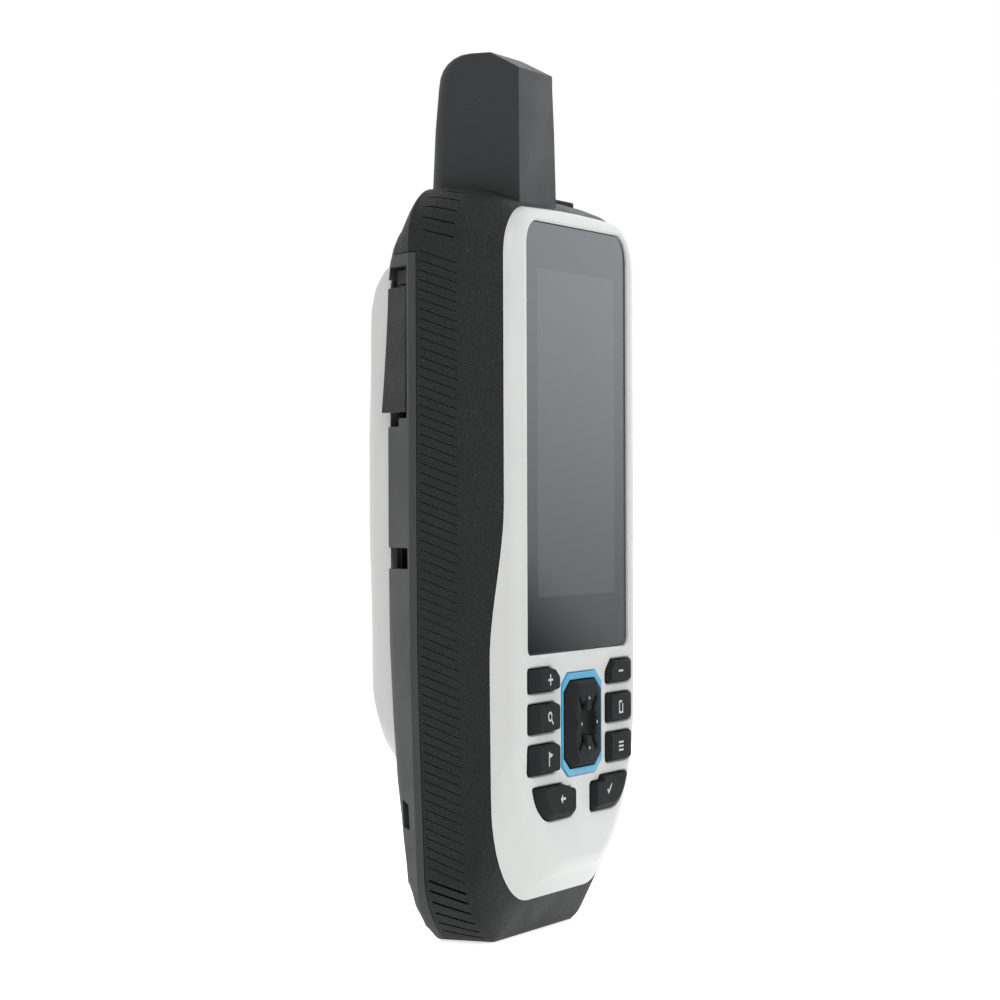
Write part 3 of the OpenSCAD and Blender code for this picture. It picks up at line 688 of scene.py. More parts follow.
def brushed(name, colour, rough, stretch):
    """Drawn or machined metal, with fine lines along one axis."""
    material, tree, shader, place = start_material(name)
    lines = add(tree, "ShaderNodeMapping", {"Vector": place, "Scale": stretch})
    noise = add(tree, "ShaderNodeTexNoise", {"Vector": lines.outputs[0], "Scale": 900.0,
                                             "Detail": 4.0})
    patches = use(tree, PATCHES, Vector=place, Size=90.0)
    fac = noise.outputs["Fac"]
    drawn = ramp(tree, fac, 0.3, 0.7, rough, rough + 0.12)
    bump = add(tree, "ShaderNodeBump", {"Distance": 0.004 * MM, "Height": fac})
    plug(tree, shader, {
        "Base Color": tint(tree, fac, [c * 0.8 for c in colour] + [1],
                           [min(1, c * 1.1) for c in colour] + [1]),
        "Roughness": maths(tree, "MULTIPLY_ADD", patches.outputs[0], 0.06, drawn),
        "Normal": bump.outputs[0], "Metallic": 1.0})
    return material


FINISH = {
    "white_shell": moulded("white_shell", (0.6, 0.607, 0.592), 0.42, grain=5200, wrinkle=0.1,
                           depth=0.0025, dust=0.004, fleck=0.012, coat=0.08, dust_tint=0.5),
    "grip_rubber": moulded("grip_rubber", (0.0082, 0.009, 0.0092), 0.5, grain=1700,
                           wrinkle=0.5, depth=0.18, dust=0.05, fleck=0.25, specular=0.33,
                           dust_tint=0.35),
    "housing_black": moulded("housing_black", (0.022, 0.0235, 0.0245), 0.56, grain=3800,
                             wrinkle=0.2, depth=0.06, dust=0.05, fleck=0.18, specular=0.45),
    "strip_grey": moulded("strip_grey", (0.036, 0.0375, 0.039), 0.55, grain=3800, wrinkle=0.2,
                          depth=0.012, dust=0.03, fleck=0.1),
    "key_rubber": moulded("key_rubber", (0.014, 0.0148, 0.0152), 0.66, grain=3400, wrinkle=0.2,
                          depth=0.03, dust=0.05, fleck=0.15, ior=1.19),
    "window_glass": window_glass(),
    "lcd_stack": moulded("lcd_stack", (0.03, 0.032, 0.034), 0.15, grain=6000, depth=0.001),
    "ring_blue": moulded("ring_blue", (0.055, 0.37, 0.60), 0.35, grain=4200, depth=0.004,
                         fleck=0.05, coat=0.2),
    "seal_rubber": moulded("seal_rubber", (0.012, 0.012, 0.013), 0.7, grain=3000, depth=0.01,
                           fleck=0.2),
    "silicone": moulded("silicone", (0.32, 0.33, 0.35), 0.55, grain=2800, depth=0.006, fleck=0.06),
    "circuit_board": circuit_board(),
    "chip_black": moulded("chip_black", (0.02, 0.02, 0.022), 0.55, grain=4500, depth=0.006,
                          fleck=0.2),
    "bright_steel": brushed("bright_steel", (0.62, 0.62, 0.63), 0.25, (1, 1, 14)),
    "copper": brushed("copper", (0.8, 0.42, 0.24), 0.22, (14, 1, 1)),
    "flex_amber": moulded("flex_amber", (0.42, 0.2, 0.03), 0.35, grain=1500, depth=0.003,
                          fleck=0.15, coat=0.3),
    "carrier_plastic": moulded("carrier_plastic", (0.62, 0.6, 0.53), 0.45, grain=3400,
                               depth=0.004, fleck=0.04),
    "battery_sleeve": brushed("battery_sleeve", (0.5, 0.52, 0.55), 0.35, (6, 1, 1)),
    "foam": moulded("foam", (0.05, 0.05, 0.052), 0.9, grain=1400, wrinkle=0.8, depth=0.08,
                    fleck=0.4),
}
LEGEND = moulded("legend_ink", (0.52, 0.53, 0.53), 0.5, grain=5200, depth=0.002, fleck=0.05)
SLOT_OF = {row["node"]: row["material_slot"] for row in frame["record"]["subparts"]}
for node_name, node_object in frame["nodes"].items():
    node_object.data.materials.clear()
    node_object.data.materials.append(FINISH[SLOT_OF[node_name]])


def place_piece(piece, body, node, smooth=32):
    """Settles a piece that stands for one CAD node, with the finish of that node's slot."""
    slot = SLOT_OF[node]
    return settle(piece, FINISH[slot], body, slot, node, smooth=smooth)


# ---- front cover, window and keypad ----

OUTER = body_form("outer_form")
GAP = 0.25
RIM = 0.32  # width of the bevel round the openings of the cover
LIP = 0.45  # width of the bevel round the window's opening
WINDOW_GAP = 0.18
GLASS_Y = WINDOW_LOW.y
LEDGE_Y = WINDOW_HIGH.y + 0.2
KEY_FACE = span("key_page")[0].y
KEYS = [  # name, outline, row, side of the middle
    ("key_zoom_in", zoom_outline, ROWS["key_zoom_out"], -1),
    ("key_zoom_out", zoom_outline, ROWS["key_zoom_out"], 1),
    ("key_find", key_outline, ROWS["key_page"], -1),
    ("key_page", key_outline, ROWS["key_page"], 1),
    ("key_mark", key_outline, ROWS["key_menu"], -1),
    ("key_menu", key_outline, ROWS["key_menu"], 1),
    ("key_quit", swept_outline, SWEPT_ROW, -1),
    ("key_enter", swept_outline, SWEPT_ROW, 1)]
FACE_IN, FACE_OUT = 13.4, 23.1  # inner and outer end of a key's top face


def sided(points, hand):
    return points if hand > 0 else flip(points)


def hole(name, outline, centre, width, height):
    """Cutter for an opening of the cover, flared at the face to bevel its rim."""
    flare_x, flare_z = 1 + 2 * RIM / width, 1 + 2 * RIM / height
    return layers(name, outline, centre,
                  [(FRONT + 4, 1, 1), (FRONT + RIM, 1, 1), (FRONT - 0.02, flare_x, flare_z),
                   (FRONT - 2, flare_x, flare_z)])


def front_cover():
    """Cover shell with its ledge for the window, its openings and their bevelled rims."""
    cover = carve(twin(OUTER, "front_cover"), cover_room(), "INTERSECT")
    carve(cover, body_form("inside", COVER_WALL))
    ledge = slab("ledge", window_outline(1.6), LEDGE_Y, LEDGE_Y + 1.2)
    carve(cover, ledge, "UNION")
    width, height = 2 * WINDOW_HIGH.x, WINDOW_HIGH.z - WINDOW_LOW.z
    middle = (0, (WINDOW_LOW.z + WINDOW_HIGH.z) / 2)
    lip_x, lip_z = 1 + 2 * LIP / width, 1 + 2 * LIP / height
    carve(cover, layers("window_cut", window_outline(WINDOW_GAP), middle,
                        [(LEDGE_Y, 1, 1), (FRONT + LIP, 1, 1), (FRONT - 0.02, lip_x, lip_z),
                         (FRONT - 2, lip_x, lip_z)]))
    carve(cover, slab("panel_cut", rounded(0, (LCD_LOW.z + LCD_HIGH.z) / 2,
                                           2 * LCD_HIGH.x + 0.4, LCD_HIGH.z - LCD_LOW.z + 0.4, 0.8),
                      FRONT - 1, FRONT + 6))
    for _, outline, row, hand in KEYS:
        middle = (hand * (KEY_IN + KEY_OUT) / 2, (row[0] + row[1]) / 2)
        carve(cover, hole("key_cut", sided(outline(row, GAP), hand), middle,
                          KEY_OUT - KEY_IN, row[1] - row[0]))
    carve(cover, hole("ring_cut", octagon(RING_W + 0.1, RING_H + 0.1), (0, ROCKER_Z), RING_W,
                      RING_H))
    return place_piece(cover, "housing", "front_cover", smooth=38)


def display_window():
    glass = slab("display_window", window_outline(0), GLASS_Y, WINDOW_HIGH.y)
    return place_piece(soften(glass, 0.12, segments=2), "housing", "display_window")


def key_cap(name, outline, row, hand):
    """Rubber key with a wide outer chamfer, soft edges and a flange behind the cover."""
    squeeze_x = (FACE_OUT - FACE_IN) / (KEY_OUT - KEY_IN)
    middle_x = hand * (FACE_IN - KEY_IN * squeeze_x) / (1 - squeeze_x)
    middle_z = (row[0] + row[1]) / 2
    tall = row[1] - row[0]
    squeeze_z = (tall - 0.7) / tall
    if outline is swept_outline:
        middle_x, squeeze_x = hand * 8.5, 0.8
        middle_z, squeeze_z = row[1] - 1.4, 0.8
    flange = 1 + 1.0 / tall
    wide = 1 + 1.0 / (KEY_OUT - KEY_IN)
    back = FRONT + COVER_WALL
    cap = layers(name, sided(outline(row, 0), hand), (middle_x, middle_z),
                 [(back + 1, wide, flange), (back + 0.2, wide, flange), (back + 0.2, 1, 1),
                  (FRONT - 0.1, 1, 1), (KEY_FACE, squeeze_x, squeeze_z)])
    soften(cap, 0.38, 24, 4)
    return place_piece(cap, name + "_body", name, smooth=50)


def keypad_ring():
    """Blue ring, a little proud of the cover."""
    ring = slab("keypad_ring", octagon(RING_W, RING_H), FRONT - 0.25, FRONT + COVER_WALL)
    rocker_w, rocker_h = ROCKER_HIGH.x * 2 + 0.5, ROCKER_HIGH.z - ROCKER_LOW.z + 0.5
    carve(ring, slab("bore", octagon(rocker_w, rocker_h), FRONT - 3, FRONT + 4))
    return place_piece(soften(ring, 0.15, 30, 2), "housing", "keypad_ring")


ROCKER_TOP = 6.2  # half width of the rocker's top face


def rocker_pad():
    """Four-way rocker: chamfered block, hollow star in its middle, four raised tabs."""
    wide, tall = 2 * ROCKER_HIGH.x, ROCKER_HIGH.z - ROCKER_LOW.z
    back = FRONT + COVER_WALL + 0.8
    top = ROCKER_LOW.y + 0.25
    pad = layers("rocker_pad", octagon(wide, tall), (0, ROCKER_Z),
                 [(back, 1, 1), (FRONT - 0.4, 1, 1), (top, 2 * ROCKER_TOP / wide, 0.93)])
    floor = top + 1.15
    star = [layers("well", octagon(7.2, 8.2, 2.2, 2.2), (0, ROCKER_Z),
                   [(floor, 1, 1), (top - 1, 1.25, 1.25)])]
    for sx in (-1, 1):
        for sz in (-1, 1):
            lean = math.atan2(sz * 5.3, sx * 4.3)
            arm = slab("arm", [(1.2, -0.8), (6.9, -0.55), (6.9, 0.55), (1.2, 0.8)],
                       floor - 0.35, top - 1)
            arm.rotation_euler.y = -lean
            arm.location = (0, 0, ROCKER_Z * MM)
            star.append(rest_in_place(arm))
    for tool in star:
        carve(pad, tool)
    soften(pad, 0.22, 28, 3)
    for turn in range(4):
        a = turn * math.pi / 2
        reach = 5.0 if turn % 2 else 3.9
        tab = layers("tab", [(-1.5, -1.25), (1.5, -1.25), (1.05, 1.35), (-1.05, 1.35)], (0, 0),
                     [(top + 0.7, 1.1, 1.1), (top - 0.05, 1, 1), (ROCKER_LOW.y, 0.72, 0.72)])
        soften(tab, 0.18, 25, 3)
        tab.rotation_euler.y = a
        tab.location = Vector((math.sin(a) * reach, 0, ROCKER_Z + math.cos(a) * reach)) * MM
        carve(pad, rest_in_place(tab), "UNION")
    return place_piece(pad, "rocker_pad_body", "rocker_pad", smooth=40)


# ---- printed symbols ----

INK = 0.03
SIGN = 1.25  # scale of the signs
STROKE = 0.16


def bar(x0, z0, x1, z1, half=STROKE):
    """Straight stroke between two points."""
    run = Vector((x1 - x0, z1 - z0)).normalized() * half
    return [(x0 - run.x + run.y, z0 - run.y - run.x), (x1 + run.x + run.y, z1 + run.y - run.x),
            (x1 + run.x - run.y, z1 + run.y + run.x), (x0 - run.x - run.y, z0 - run.y + run.x)]


def hoop(cx, cz, r, start=0, end=350, half=STROKE):
    """Round stroke."""
    outer = arc(cx, cz, r + half, r + half, start, end, 20)
    return outer + list(reversed(arc(cx, cz, r - half, r - half, start, end, 20)))


SYMBOLS = {
    "key_zoom_in": [[(-.9, -STROKE), (-STROKE, -STROKE), (-STROKE, -.9), (STROKE, -.9),
                     (STROKE, -STROKE), (.9, -STROKE), (.9, STROKE), (STROKE, STROKE),
                     (STROKE, .9), (-STROKE, .9), (-STROKE, STROKE), (-.9, STROKE)]],
    "key_zoom_out": [bar(-.75, 0, .75, 0)],
    "key_find": [hoop(-.2, .2, .65), bar(.35, -.35, .95, -.95)],
    "key_page": [bar(-.7, -.9, -.7, .9), bar(.7, -.9, .7, .4), bar(-.35, .9, .25, .9),
                 bar(-.35, -.9, .35, -.9)],
    "key_mark": [bar(-.6, -1, -.6, 1), [(-.3, .15), (-.3, 1.0), (.9, .6)]],
    "key_menu": [bar(-.8, h, .8, h) for h in (-.65, 0, .65)],
    "key_quit": [[(-1.1, 0), (-.25, -.75), (-.25, -.2), (.9, -.2), (.9, .2), (-.25, .2),
                  (-.25, .75)]],
    "key_enter": [[(-.8, .15), (-.45, -.25), (-.2, -.0), (.75, .9), (.95, .65), (-.45, -.8),
                   (-1.05, -.15)]],
}
SYMBOL_X = 18.2  # how far a sign is from the middle of the keypad


def symbol(name, strokes, middle, y, body, turn=0.0):
    """Thin printed sign on a key: strokes drawn round a middle point."""
    parts = [slab("stroke", [(x * SIGN, z * SIGN) for x, z in stroke], y, y - INK)
             for stroke in strokes]
    sign = join(name + "_sign", parts)
    sign.rotation_euler.y = turn
    sign.location = Vector((middle[0], 0, middle[1])) * MM
    return settle(rest_in_place(sign), LEGEND, body, "silicone")


def symbols():
    for name, outline, row, hand in KEYS:
        middle = (hand * SYMBOL_X, (row[0] + row[1]) / 2)
        if outline is swept_outline:
            middle = (hand * 12.0, (row[0] + row[1]) / 2 + 0.6)
        symbol(name, SYMBOLS[name], middle, KEY_FACE + 0.005, name + "_body")
    arrow = [(-.32, -.2), (.32, -.2), (0, .32)]
    for turn in range(4):
        a = turn * math.pi / 2
        reach = 5.1 if turn % 2 == 0 else 4.0
        middle = (math.sin(a) * reach, ROCKER_Z + math.cos(a) * reach)
        symbol(f"rocker_arrow_{turn}", [arrow], middle, ROCKER_LOW.y + 0.005, "rocker_pad_body", a)


# ---- grip frame ----


def rear_room(depth, grow):
    """Everything behind the parting line that isn't grip: full width below the wrap, and a
    narrower field with round corners above it."""
    room = block("rear_room", (-50, depth, -5), (50, 30, WRAP_Z + grow))
    half, top, r = 28.2 + grow, 146.6 + grow, 9
    field = both_halves([(half, WRAP_Z - 20)] + arc(half - r, top - r, r, r, 0, 90, 8))
    return carve(room, slab("field", field, depth + 0.001, 29), "UNION")


GROOVE_COUNT = 65  # fine grooves on each side
GROOVE_START = 14.5  # height of the lowest of them
GROOVE_PITCH = 1.9
GROOVE_DROP = 2.9  # fall of a groove from the parting line to the front crease
GROOVE_RUN = 8.5
GROOVE_WIDTH, GROOVE_DEPTH = 0.17, 0.15
BOLD_COUNT = 6  # bold grooves round each corner


def groove(place, width, length, turn, tilt, thick=1.6):
    """Thin cutter, laid along the side: turn follows the wall in plan, tilt lets it fall."""
    deselect()
    bpy.ops.mesh.primitive_cube_add(size=1, location=Vector(place) * MM,
                                    rotation=(tilt, 0, turn),
                                    scale=Vector((thick, length, width)) * MM)
    return bpy.context.active_object


def groove_tools():
    """Fine grooves down both sides, bolder ones round the upper and lower corners."""
    fall = math.atan2(GROOVE_DROP, GROOVE_RUN)
    lean = math.atan2(0.75, 9)
    long = math.hypot(GROOVE_DROP, GROOVE_RUN)
    inset = 0.8 - GROOVE_DEPTH
    tools = []
    for hand in (-1, 1):
        for i in range(GROOVE_COUNT):
            z = GROOVE_START + i * GROOVE_PITCH
            x = side(z, HALF - 0.42) + inset
            tools.append(groove((hand * x, -4.2, z), GROOVE_WIDTH, long, hand * lean, fall))
        for i in range(BOLD_COUNT):
            a = math.radians(8 + i * 13)
            tool = groove((0, 0, 0), 0.25, long * 0.9, 0, 0, 1.2)
            tool.rotation_euler = (fall * 0.8, -hand * a, 0)
            across = HALF - 0.4 - CORNER + (CORNER + 0.3) * math.cos(a)
            up = HEIGHT - CROWN - CORNER + (CORNER + 0.3) * math.sin(a)
            tool.location = Vector((hand * across, -4.0, up)) * MM
            tools.append(tool)
        for i in range(BOLD_COUNT):
            a = math.radians(-8 - i * 11)
            x = 19 + (side(13, HALF - 0.4) - 19) * math.cos(a) ** 1.3
            z = 13 - 13 * abs(math.sin(a)) ** 1.3
            tool = groove((0, 0, 0), 0.5, long * 0.94, 0, 0, 1.9)
            tool.rotation_euler = (fall * 0.8, -hand * a * 1.05, 0)
            tool.location = Vector((hand * (x + 0.25 * math.cos(a)), -4.4,
                                    z + 0.25 * math.sin(a))) * MM
            tools.append(tool)
    return rest_in_place(join("grooves", tools))


def grip_frame():
    """Rubber-skinned frame round the sides, top and base, open at the front and the back."""
    grip = carve(twin(OUTER, "grip_frame"), cover_room(0.12))
    carve(grip, rear_room(PARTING - SEAM, SEAM))
    carve(grip, groove_tools())
    carve(grip, body_form("inside", WALL))
    return place_piece(grip, "housing", "grip_frame", smooth=30)


# ---- rear cover, flap and back ----

FLAP = (1.3, STRIP_W, 105.8, 130.7)  # front edge, rear edge, bottom, top
FLAP_T = 1.1


def strip_block(name, x0, x1, n0, n1, z0, z1):
    """Box on the left strip: x runs across it to the back, n outwards."""
    return block(name, (x0, n0, z0), (x1, n1, z1), STRIP_TURN, STRIP_ORIGIN)


def on_strip(x, n, z):
    return STRIP_ORIGIN + STRIP_SPIN @ Vector((x, n, z))


def rear_cover():
    """Grey chassis behind the grips, with its chamfered strips, slots and the port recess."""
    rear = carve(twin(OUTER, "rear_cover"), rear_room(PARTING + SEAM, -SEAM), "INTERSECT")
    carve(rear, body_form("inside", WALL))
    backing = carve(strip_block("backing", 0.4, STRIP_W - 0.6, -4.4, 0.5, 101, 136.5),
                    OUTER, "INTERSECT", keep=True)
    carve(rear, backing, "UNION")
    carve(rear, slab("bay", rounded(0, 86, 38.4, 84, 4), 2, 30))
    cuts = [strip_block("recess", 0.9, STRIP_W + 4, -2.2, 4, 104.6, 132.4),
            strip_block("top_gap", 0.9, STRIP_W - 0.5, -3.0, 4, 132.2, 134.8),
            strip_block("deep", 5.2, STRIP_W + 4, -3.6, 4, 103, 106.5),
            strip_block("slot", 0.9, STRIP_W + 4, -3.0, 4, 74.7, 78.9)]
    lower = slab("lower_slot", [(4.4, 22.7), (7.4, 23.2), (7.4, 28.8), (4.4, 27.8)], -6, 4)
    lower.rotation_euler.z = STRIP_TURN
    lower.location = STRIP_ORIGIN * MM
    cuts.append(rest_in_place(lower))
    mirrored = [other_side(cut, "right_slot") for cut in cuts[2:]]
    for tool in cuts + mirrored:
        carve(rear, tool)
    return place_piece(rear, "housing", "rear_cover")


def weather_cap():
    """Rubber flap over the data port: held at its top edge, curling open towards its foot."""
    x0, x1, z0, z1 = FLAP
    columns, rows = 6, 14
    near = 0.05  # how close a corner has to be to its place in the grid
    flap = strip_block("weather_cap", x0, x1, -FLAP_T, 0, z0, z1)
    edit(flap)
    for count, axis in ((columns, (1, 0, 0)), (rows, (0, 0, 1))):
        for i in range(1, count):
            share = i / count
            point = on_strip(x0 + (x1 - x0) * share, 0, z0 + (z1 - z0) * share) * MM
            bpy.ops.mesh.select_all(action="SELECT")
            bpy.ops.mesh.bisect(plane_co=point, plane_no=STRIP_SPIN @ Vector(axis))
    bpy.ops.mesh.select_mode(type="VERT")
    outwards, across = STRIP_SPIN @ Vector((0, 1, 0)), STRIP_SPIN @ Vector((1, 0, 0))
    for i in range(rows + 1):
        for k in range(columns + 1):
            z = z0 + (z1 - z0) * i / rows
            share = k / columns
            open_by = (0.2 + 1.3 * share) * ((z1 - z) / (z1 - z0)) ** 1.4
            bpy.ops.mesh.select_all(action="DESELECT")
            mesh = bmesh.from_edit_mesh(flap.data)
            start = on_strip(0, 0, 0) * MM
            for vert in mesh.verts:
                x = (vert.co - start).dot(across) / MM
                in_column = abs(x - x0 - (x1 - x0) * share) < near
                vert.select = in_column and abs(vert.co.z / MM - z) < near
            mesh.select_flush(True)
            bmesh.update_edit_mesh(flap.data)
            bpy.ops.transform.translate(value=outwards * open_by * MM)
    close(flap)
    soften(flap, 0.22, 40, 3)
    return place_piece(flap, "weather_cap_body", "weather_cap", smooth=40)


SHELL_RINGS = [  # depth, half width, bottom, top
    (8.5, 25.9, 31.5, 137.6), (11.5, 24.6, 33.0, 137.2), (14.5, 22.4, 35.5, 136.0),
    (16.5, 20.6, 39.2, 134.2), (18.0, 18.6, 42.0, 131.8), (19.3, 16.2, 47.5, 127.5),
    (20.4, 14.0, 55.0, 121.5), (21.3, 12.6, 65.0, 113.0), (21.8, 12.0, 73.0, 106.5),
    (22.0, 11.7, 77.0, 103.0)]


def back_shell():
    """White domed shell on the back, with a tub for the mounting rail and wells for its screws."""
    rings = []
    _, base_half, base_low, base_high = SHELL_RINGS[0]
    for y, half, low, high in SHELL_RINGS:
        wide, tall = half / base_half, (high - low) / (base_high - base_low)
        foot, low_r, top_x, top_z = 14 * wide, 10 * tall, 8 * wide, 8 * tall
        right = arc(foot, low + low_r, half - foot, low_r, -90, 0, 12, 1.2)
        right += [(half, low + (high - low) * k) for k in (0.3, 0.5, 0.75)]
        right += arc(half - top_x, high - top_z, top_x, top_z, 0, 90, 10)
        rings.append((y, both_halves(right)))
    shell = loft("back_shell", rings)
    tub_z = (SPINE_LOW.z + SPINE_HIGH.z) / 2
    tub_y = SPINE_LOW.y
    tub = layers("tub", rounded(0, tub_z, 19, 39, 3), (0, tub_z),
                 [(tub_y, 1, 1), (SHELL_HIGH.y - 0.6, 1, 1), (SHELL_HIGH.y + 0.3, 1.06, 1.03),
                  (SHELL_HIGH.y + 4, 1.06, 1.03)])
    carve(shell, tub)
    for x in (-16, 16):
        for z in (38.5, 133):
            carve(shell, rod("well", 1.9, (x, 11.6, z), (x, 30, z)))
    carve(shell, OUTER, keep=True)
    soften(shell, 0.3, 45, 2)
    return place_piece(shell, "housing", "back_shell", smooth=40)


def mount_spine():
    """T-section rail in the tub, with countersunk screw holes and lead-in ends."""
    z = (SPINE_LOW.z + SPINE_HIGH.z) / 2
    tall, wide = SPINE_HIGH.z - SPINE_LOW.z, 2 * SPINE_HIGH.x
    neck = slab("mount_spine", rounded(0, z, wide - 3.6, tall, 1.5), SPINE_LOW.y, SPINE_LOW.y + 2.6)
    head = slab("head", rounded(0, z, wide, tall, 1.8), SPINE_LOW.y + 2.4, SPINE_HIGH.y)
    spine = carve(neck, soften(head, 0.35, 30, 3), "UNION")
    for dz in (-9, 9):
        carve(spine, rod("sink", 1.6, (0, SPINE_LOW.y + 3, z + dz), (0, 30, z + dz)))
    return place_piece(spine, "housing", "mount_spine")


def rear_screws():
    """Pan heads with a six-lobe drive, four in the shell's wells and two in the rail."""
    screws = []
    spots = [(x, BACK + 1.1, z) for x in (-16, 16) for z in (38.5, 133)]
    spots += [(0, SPINE_LOW.y + 3, (SPINE_LOW.z + SPINE_HIGH.z) / 2 + dz) for dz in (-9, 9)]
    for x, y, z in spots:
        head = layers("head", [(x + 1.5 * math.cos(i * math.pi / 12),
                                z + 1.5 * math.sin(i * math.pi / 12)) for i in range(24)], (x, z),
                      [(y, 1, 1), (y + 0.45, 1, 1), (y + 0.75, 0.86, 0.86), (y + 0.9, 0.6, 0.6)])
        drive = [(x + r * math.cos(i * math.pi / 12), z + r * math.sin(i * math.pi / 12))
                 for i in range(24) for r in [0.68 if i % 4 < 2 else 0.5]]
        carve(head, slab("drive", drive, y + 0.45, y + 2))
        shank = rod("shank", 0.8, (x, y + 0.1, z), (x, y - 6.5, z), 24)
        screws.append(carve(head, shank, "UNION"))
    return place_piece(join("rear_screws", screws), "housing", "rear_screws")


# ---- antenna and power key ----


def antenna_cover():
    """Stub antenna: square front edges, round back edges, leaning in towards a faceted top."""
    x = (ANTENNA_LOW.x + ANTENNA_HIGH.x) / 2
    half = (ANTENNA_HIGH.x - ANTENNA_LOW.x) / 2
    front, back, r = -15.6, 5.8, 5
    base, top = HEIGHT - 8, ANTENNA_HIGH.z
    right = [(half, front)] + arc(half - r, back - r, r, r, 0, 90, 8)
    plan = right + [(-px, py) for px, py in reversed(right)]
    cover = draw("antenna_cover", [(px + x, py) for px, py in plan], from_above)
    rings = [(base, half, front, back), (HEIGHT + 12, half - 0.45, front + 0.3, back - 0.9),
             (top - 6.5, half - 0.8, front + 0.5, back - 1.6)]
    for a in range(15, 91, 15):
        c, s = math.cos(math.radians(a)), math.sin(math.radians(a))
        rings.append((top - 6 + 6 * s, half - 0.85 - 0.9 * (1 - c), front + 0.5,
                      back - 7.7 + 6 * c))
    now = (0, half, front, back)
    for number, ring in enumerate(rings):
        if number:
            pull()
        middle = (ring[2] + ring[3]) / 2
        bpy.ops.transform.translate(
            value=Vector((0, middle - (now[2] + now[3]) / 2, ring[0] - now[0])) * MM)
        grow = (ring[1] / now[1], (ring[3] - ring[2]) / (now[3] - now[2]), 1)
        bpy.ops.transform.resize(value=grow, center_override=Vector((x, middle, ring[0])) * MM)
        now = ring
    close(cover)
    trim(cover, (0, -8.8, top - 0.2), (0, -3.2, 6.2))
    soften(cover, 0.45, 28, 3)
    carve(cover, OUTER, keep=True)
    return place_piece(cover, "housing", "antenna_cover", smooth=34)


def power_key():
    """Low key on the top face, in a fine dark gap."""
    x, y = (POWER_LOW.x + POWER_HIGH.x) / 2, (POWER_LOW.y + POWER_HIGH.y) / 2
    w, d = POWER_HIGH.x - POWER_LOW.x - 1, POWER_HIGH.y - POWER_LOW.y - 1
    key = draw("power_key", rounded(x, y, w, d, 3), from_above)
    bpy.ops.transform.translate(value=(0, 0, (HEIGHT - 4.4) * MM))
    pull()
    bpy.ops.transform.translate(value=(0, 0, 4.3 * MM))
    close(key)
    soften(key, 0.4, 40, 4)
    return place_piece(key, "power_key_body", "power_key")


front_cover()
display_window()
for key_name, key_shape, key_row, key_hand in KEYS:
    key_cap(key_name, key_shape, key_row, key_hand)
keypad_ring()
rocker_pad()
symbols()
grip_frame()
rear_cover()
weather_cap()
back_shell()
mount_spine()
rear_screws()
antenna_cover()
power_key()
bpy.data.objects.remove(OUTER)

# ---- stage ----


def glow(name):
    """Plain emitter."""
    material = bpy.data.materials.new(name)
    material.use_nodes = True
    tree = material.node_tree
    tree.nodes.clear()
    light = add(tree, "ShaderNodeEmission")
    out = add(tree, "ShaderNodeOutputMaterial")
    tree.links.new(light.outputs[0], out.inputs[0])
    return material, tree, light


def lamp(name, place, size, power):
    """Square softbox aimed at the middle of the receiver."""
    data = bpy.data.lights.new(name, "AREA")
    data.size, data.energy = size * MM, power
    light = bpy.data.objects.new(name, data)
    bpy.context.scene.collection.objects.link(light)
    light.location = Vector(place) * MM
    sight = (Vector((0, 0, 85)) - Vector(place)).normalized()
    light.rotation_euler = sight.to_track_quat("-Z", "Y").to_euler()


SKY_DARK, SKY_BRIGHT = 0.14, 0.95


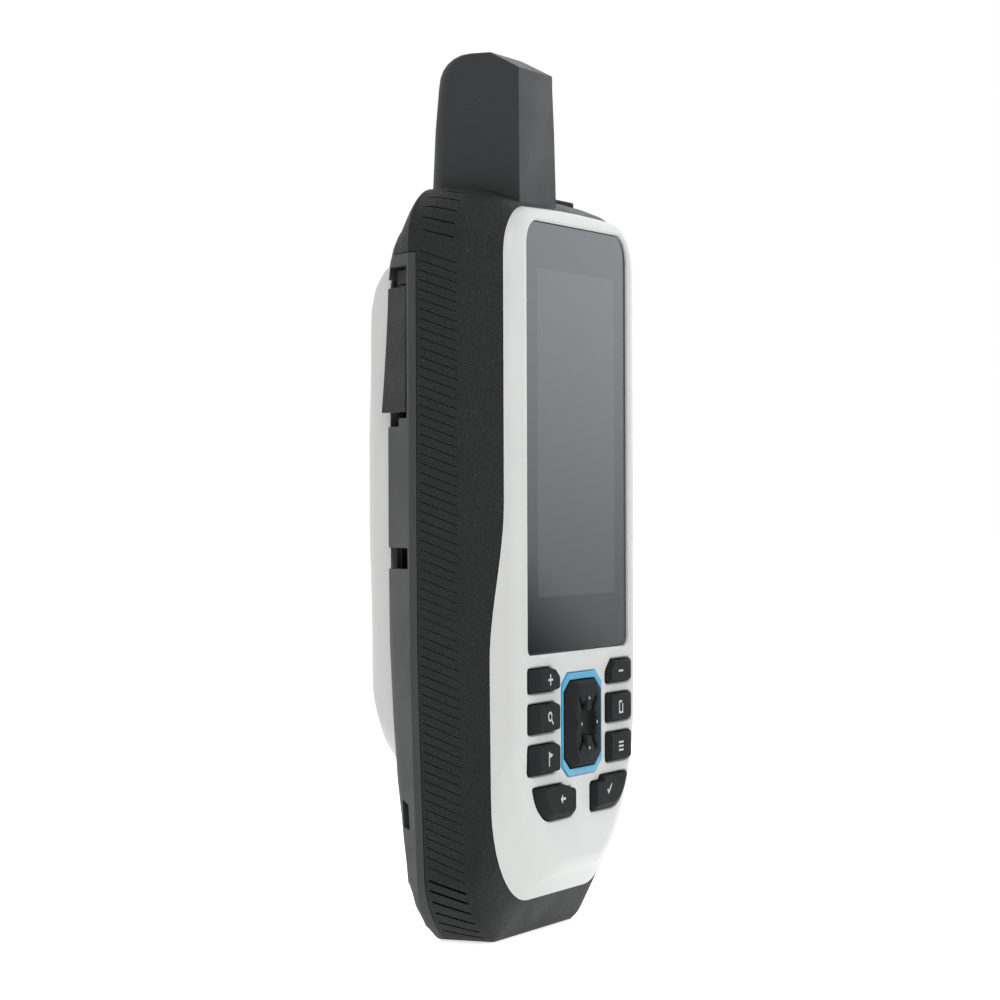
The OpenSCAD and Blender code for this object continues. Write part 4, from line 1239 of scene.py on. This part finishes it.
def make_sky():
    """White to the camera; to the receiver, brighter on the far right than behind the camera."""
    scene = bpy.context.scene
    scene.view_settings.view_transform = "Standard"
    world = bpy.data.worlds.new("studio")
    scene.world = world
    world.use_nodes = True
    tree = world.node_tree
    sky = tree.nodes["Background"]
    seen = add(tree, "ShaderNodeLightPath").outputs["Is Camera Ray"]
    way = add(tree, "ShaderNodeVectorMath",
              {0: add(tree, "ShaderNodeTexCoord").outputs["Generated"], 1: (0.82, 0.45, 0.28)},
              operation="DOT_PRODUCT").outputs["Value"]
    lit = ramp(tree, way, -0.7, 0.8, SKY_DARK, SKY_BRIGHT)
    mix = add(tree, "ShaderNodeMix", {0: seen, 2: lit, 3: 1.0})
    tree.links.new(mix.outputs[0], sky.inputs["Strength"])
    sky.inputs["Color"].default_value = (1, 1, 1, 1)


def make_floor():
    """Pale floor that lights the receiver a little from below, more on its right."""
    deselect()
    bpy.ops.mesh.primitive_plane_add(size=12, location=(0, 0, 0))
    floor = bpy.context.active_object
    floor.name = "floor"
    material, tree, shader, place = start_material("floor")
    seen = add(tree, "ShaderNodeLightPath").outputs["Is Camera Ray"]
    parts = add(tree, "ShaderNodeSeparateXYZ", {0: place})
    right = maths(tree, "MULTIPLY_ADD", parts.outputs["Y"], -0.4, parts.outputs["X"])
    bounce = ramp(tree, right, -0.1, 0.08, 0.3, 0.75)
    mix = add(tree, "ShaderNodeMix", {0: seen, 2: bounce, 3: 0.72})
    plug(tree, shader, {"Base Color": (0.86, 0.86, 0.86, 1), "Roughness": 0.8,
                        "Emission Color": (1, 1, 1, 1), "Emission Strength": mix.outputs[0]})
    floor.data.materials.append(material)


def make_card():
    """Tall card that only the window and other glossy parts mirror, dark at its lower edge."""
    deselect()
    bpy.ops.mesh.primitive_plane_add(size=1, location=(0.4, -0.195, 0.185),
                                     rotation=(math.pi / 2, 0, math.radians(65)),
                                     scale=(0.16, 0.43, 1))
    card = bpy.context.active_object
    card.name = "card"
    bpy.ops.object.transform_apply(location=True, rotation=True, scale=True)
    material, tree, light = glow("card")
    light.inputs["Color"].default_value = (0.93, 0.97, 1.0, 1)
    parts = add(tree, "ShaderNodeSeparateXYZ",
                {0: add(tree, "ShaderNodeTexCoord").outputs["Object"]})
    rising = ramp(tree, parts.outputs["Z"], 0.0, 0.2, 0.65, 1.95)
    slant = maths(tree, "MULTIPLY_ADD", parts.outputs["Y"], 1.2, parts.outputs["Z"])
    shade = ramp(tree, slant, -0.222, -0.17, 0.12, 1.0)
    tree.links.new(maths(tree, "MULTIPLY", rising, shade), light.inputs["Strength"])
    card.data.materials.append(material)
    card.visible_camera = False


make_sky()
make_floor()
make_card()
lamp("side_softbox", (-600, -350, 620), 450, 3.6)
lamp("front_softbox", (420, -800, 380), 500, 2.2)
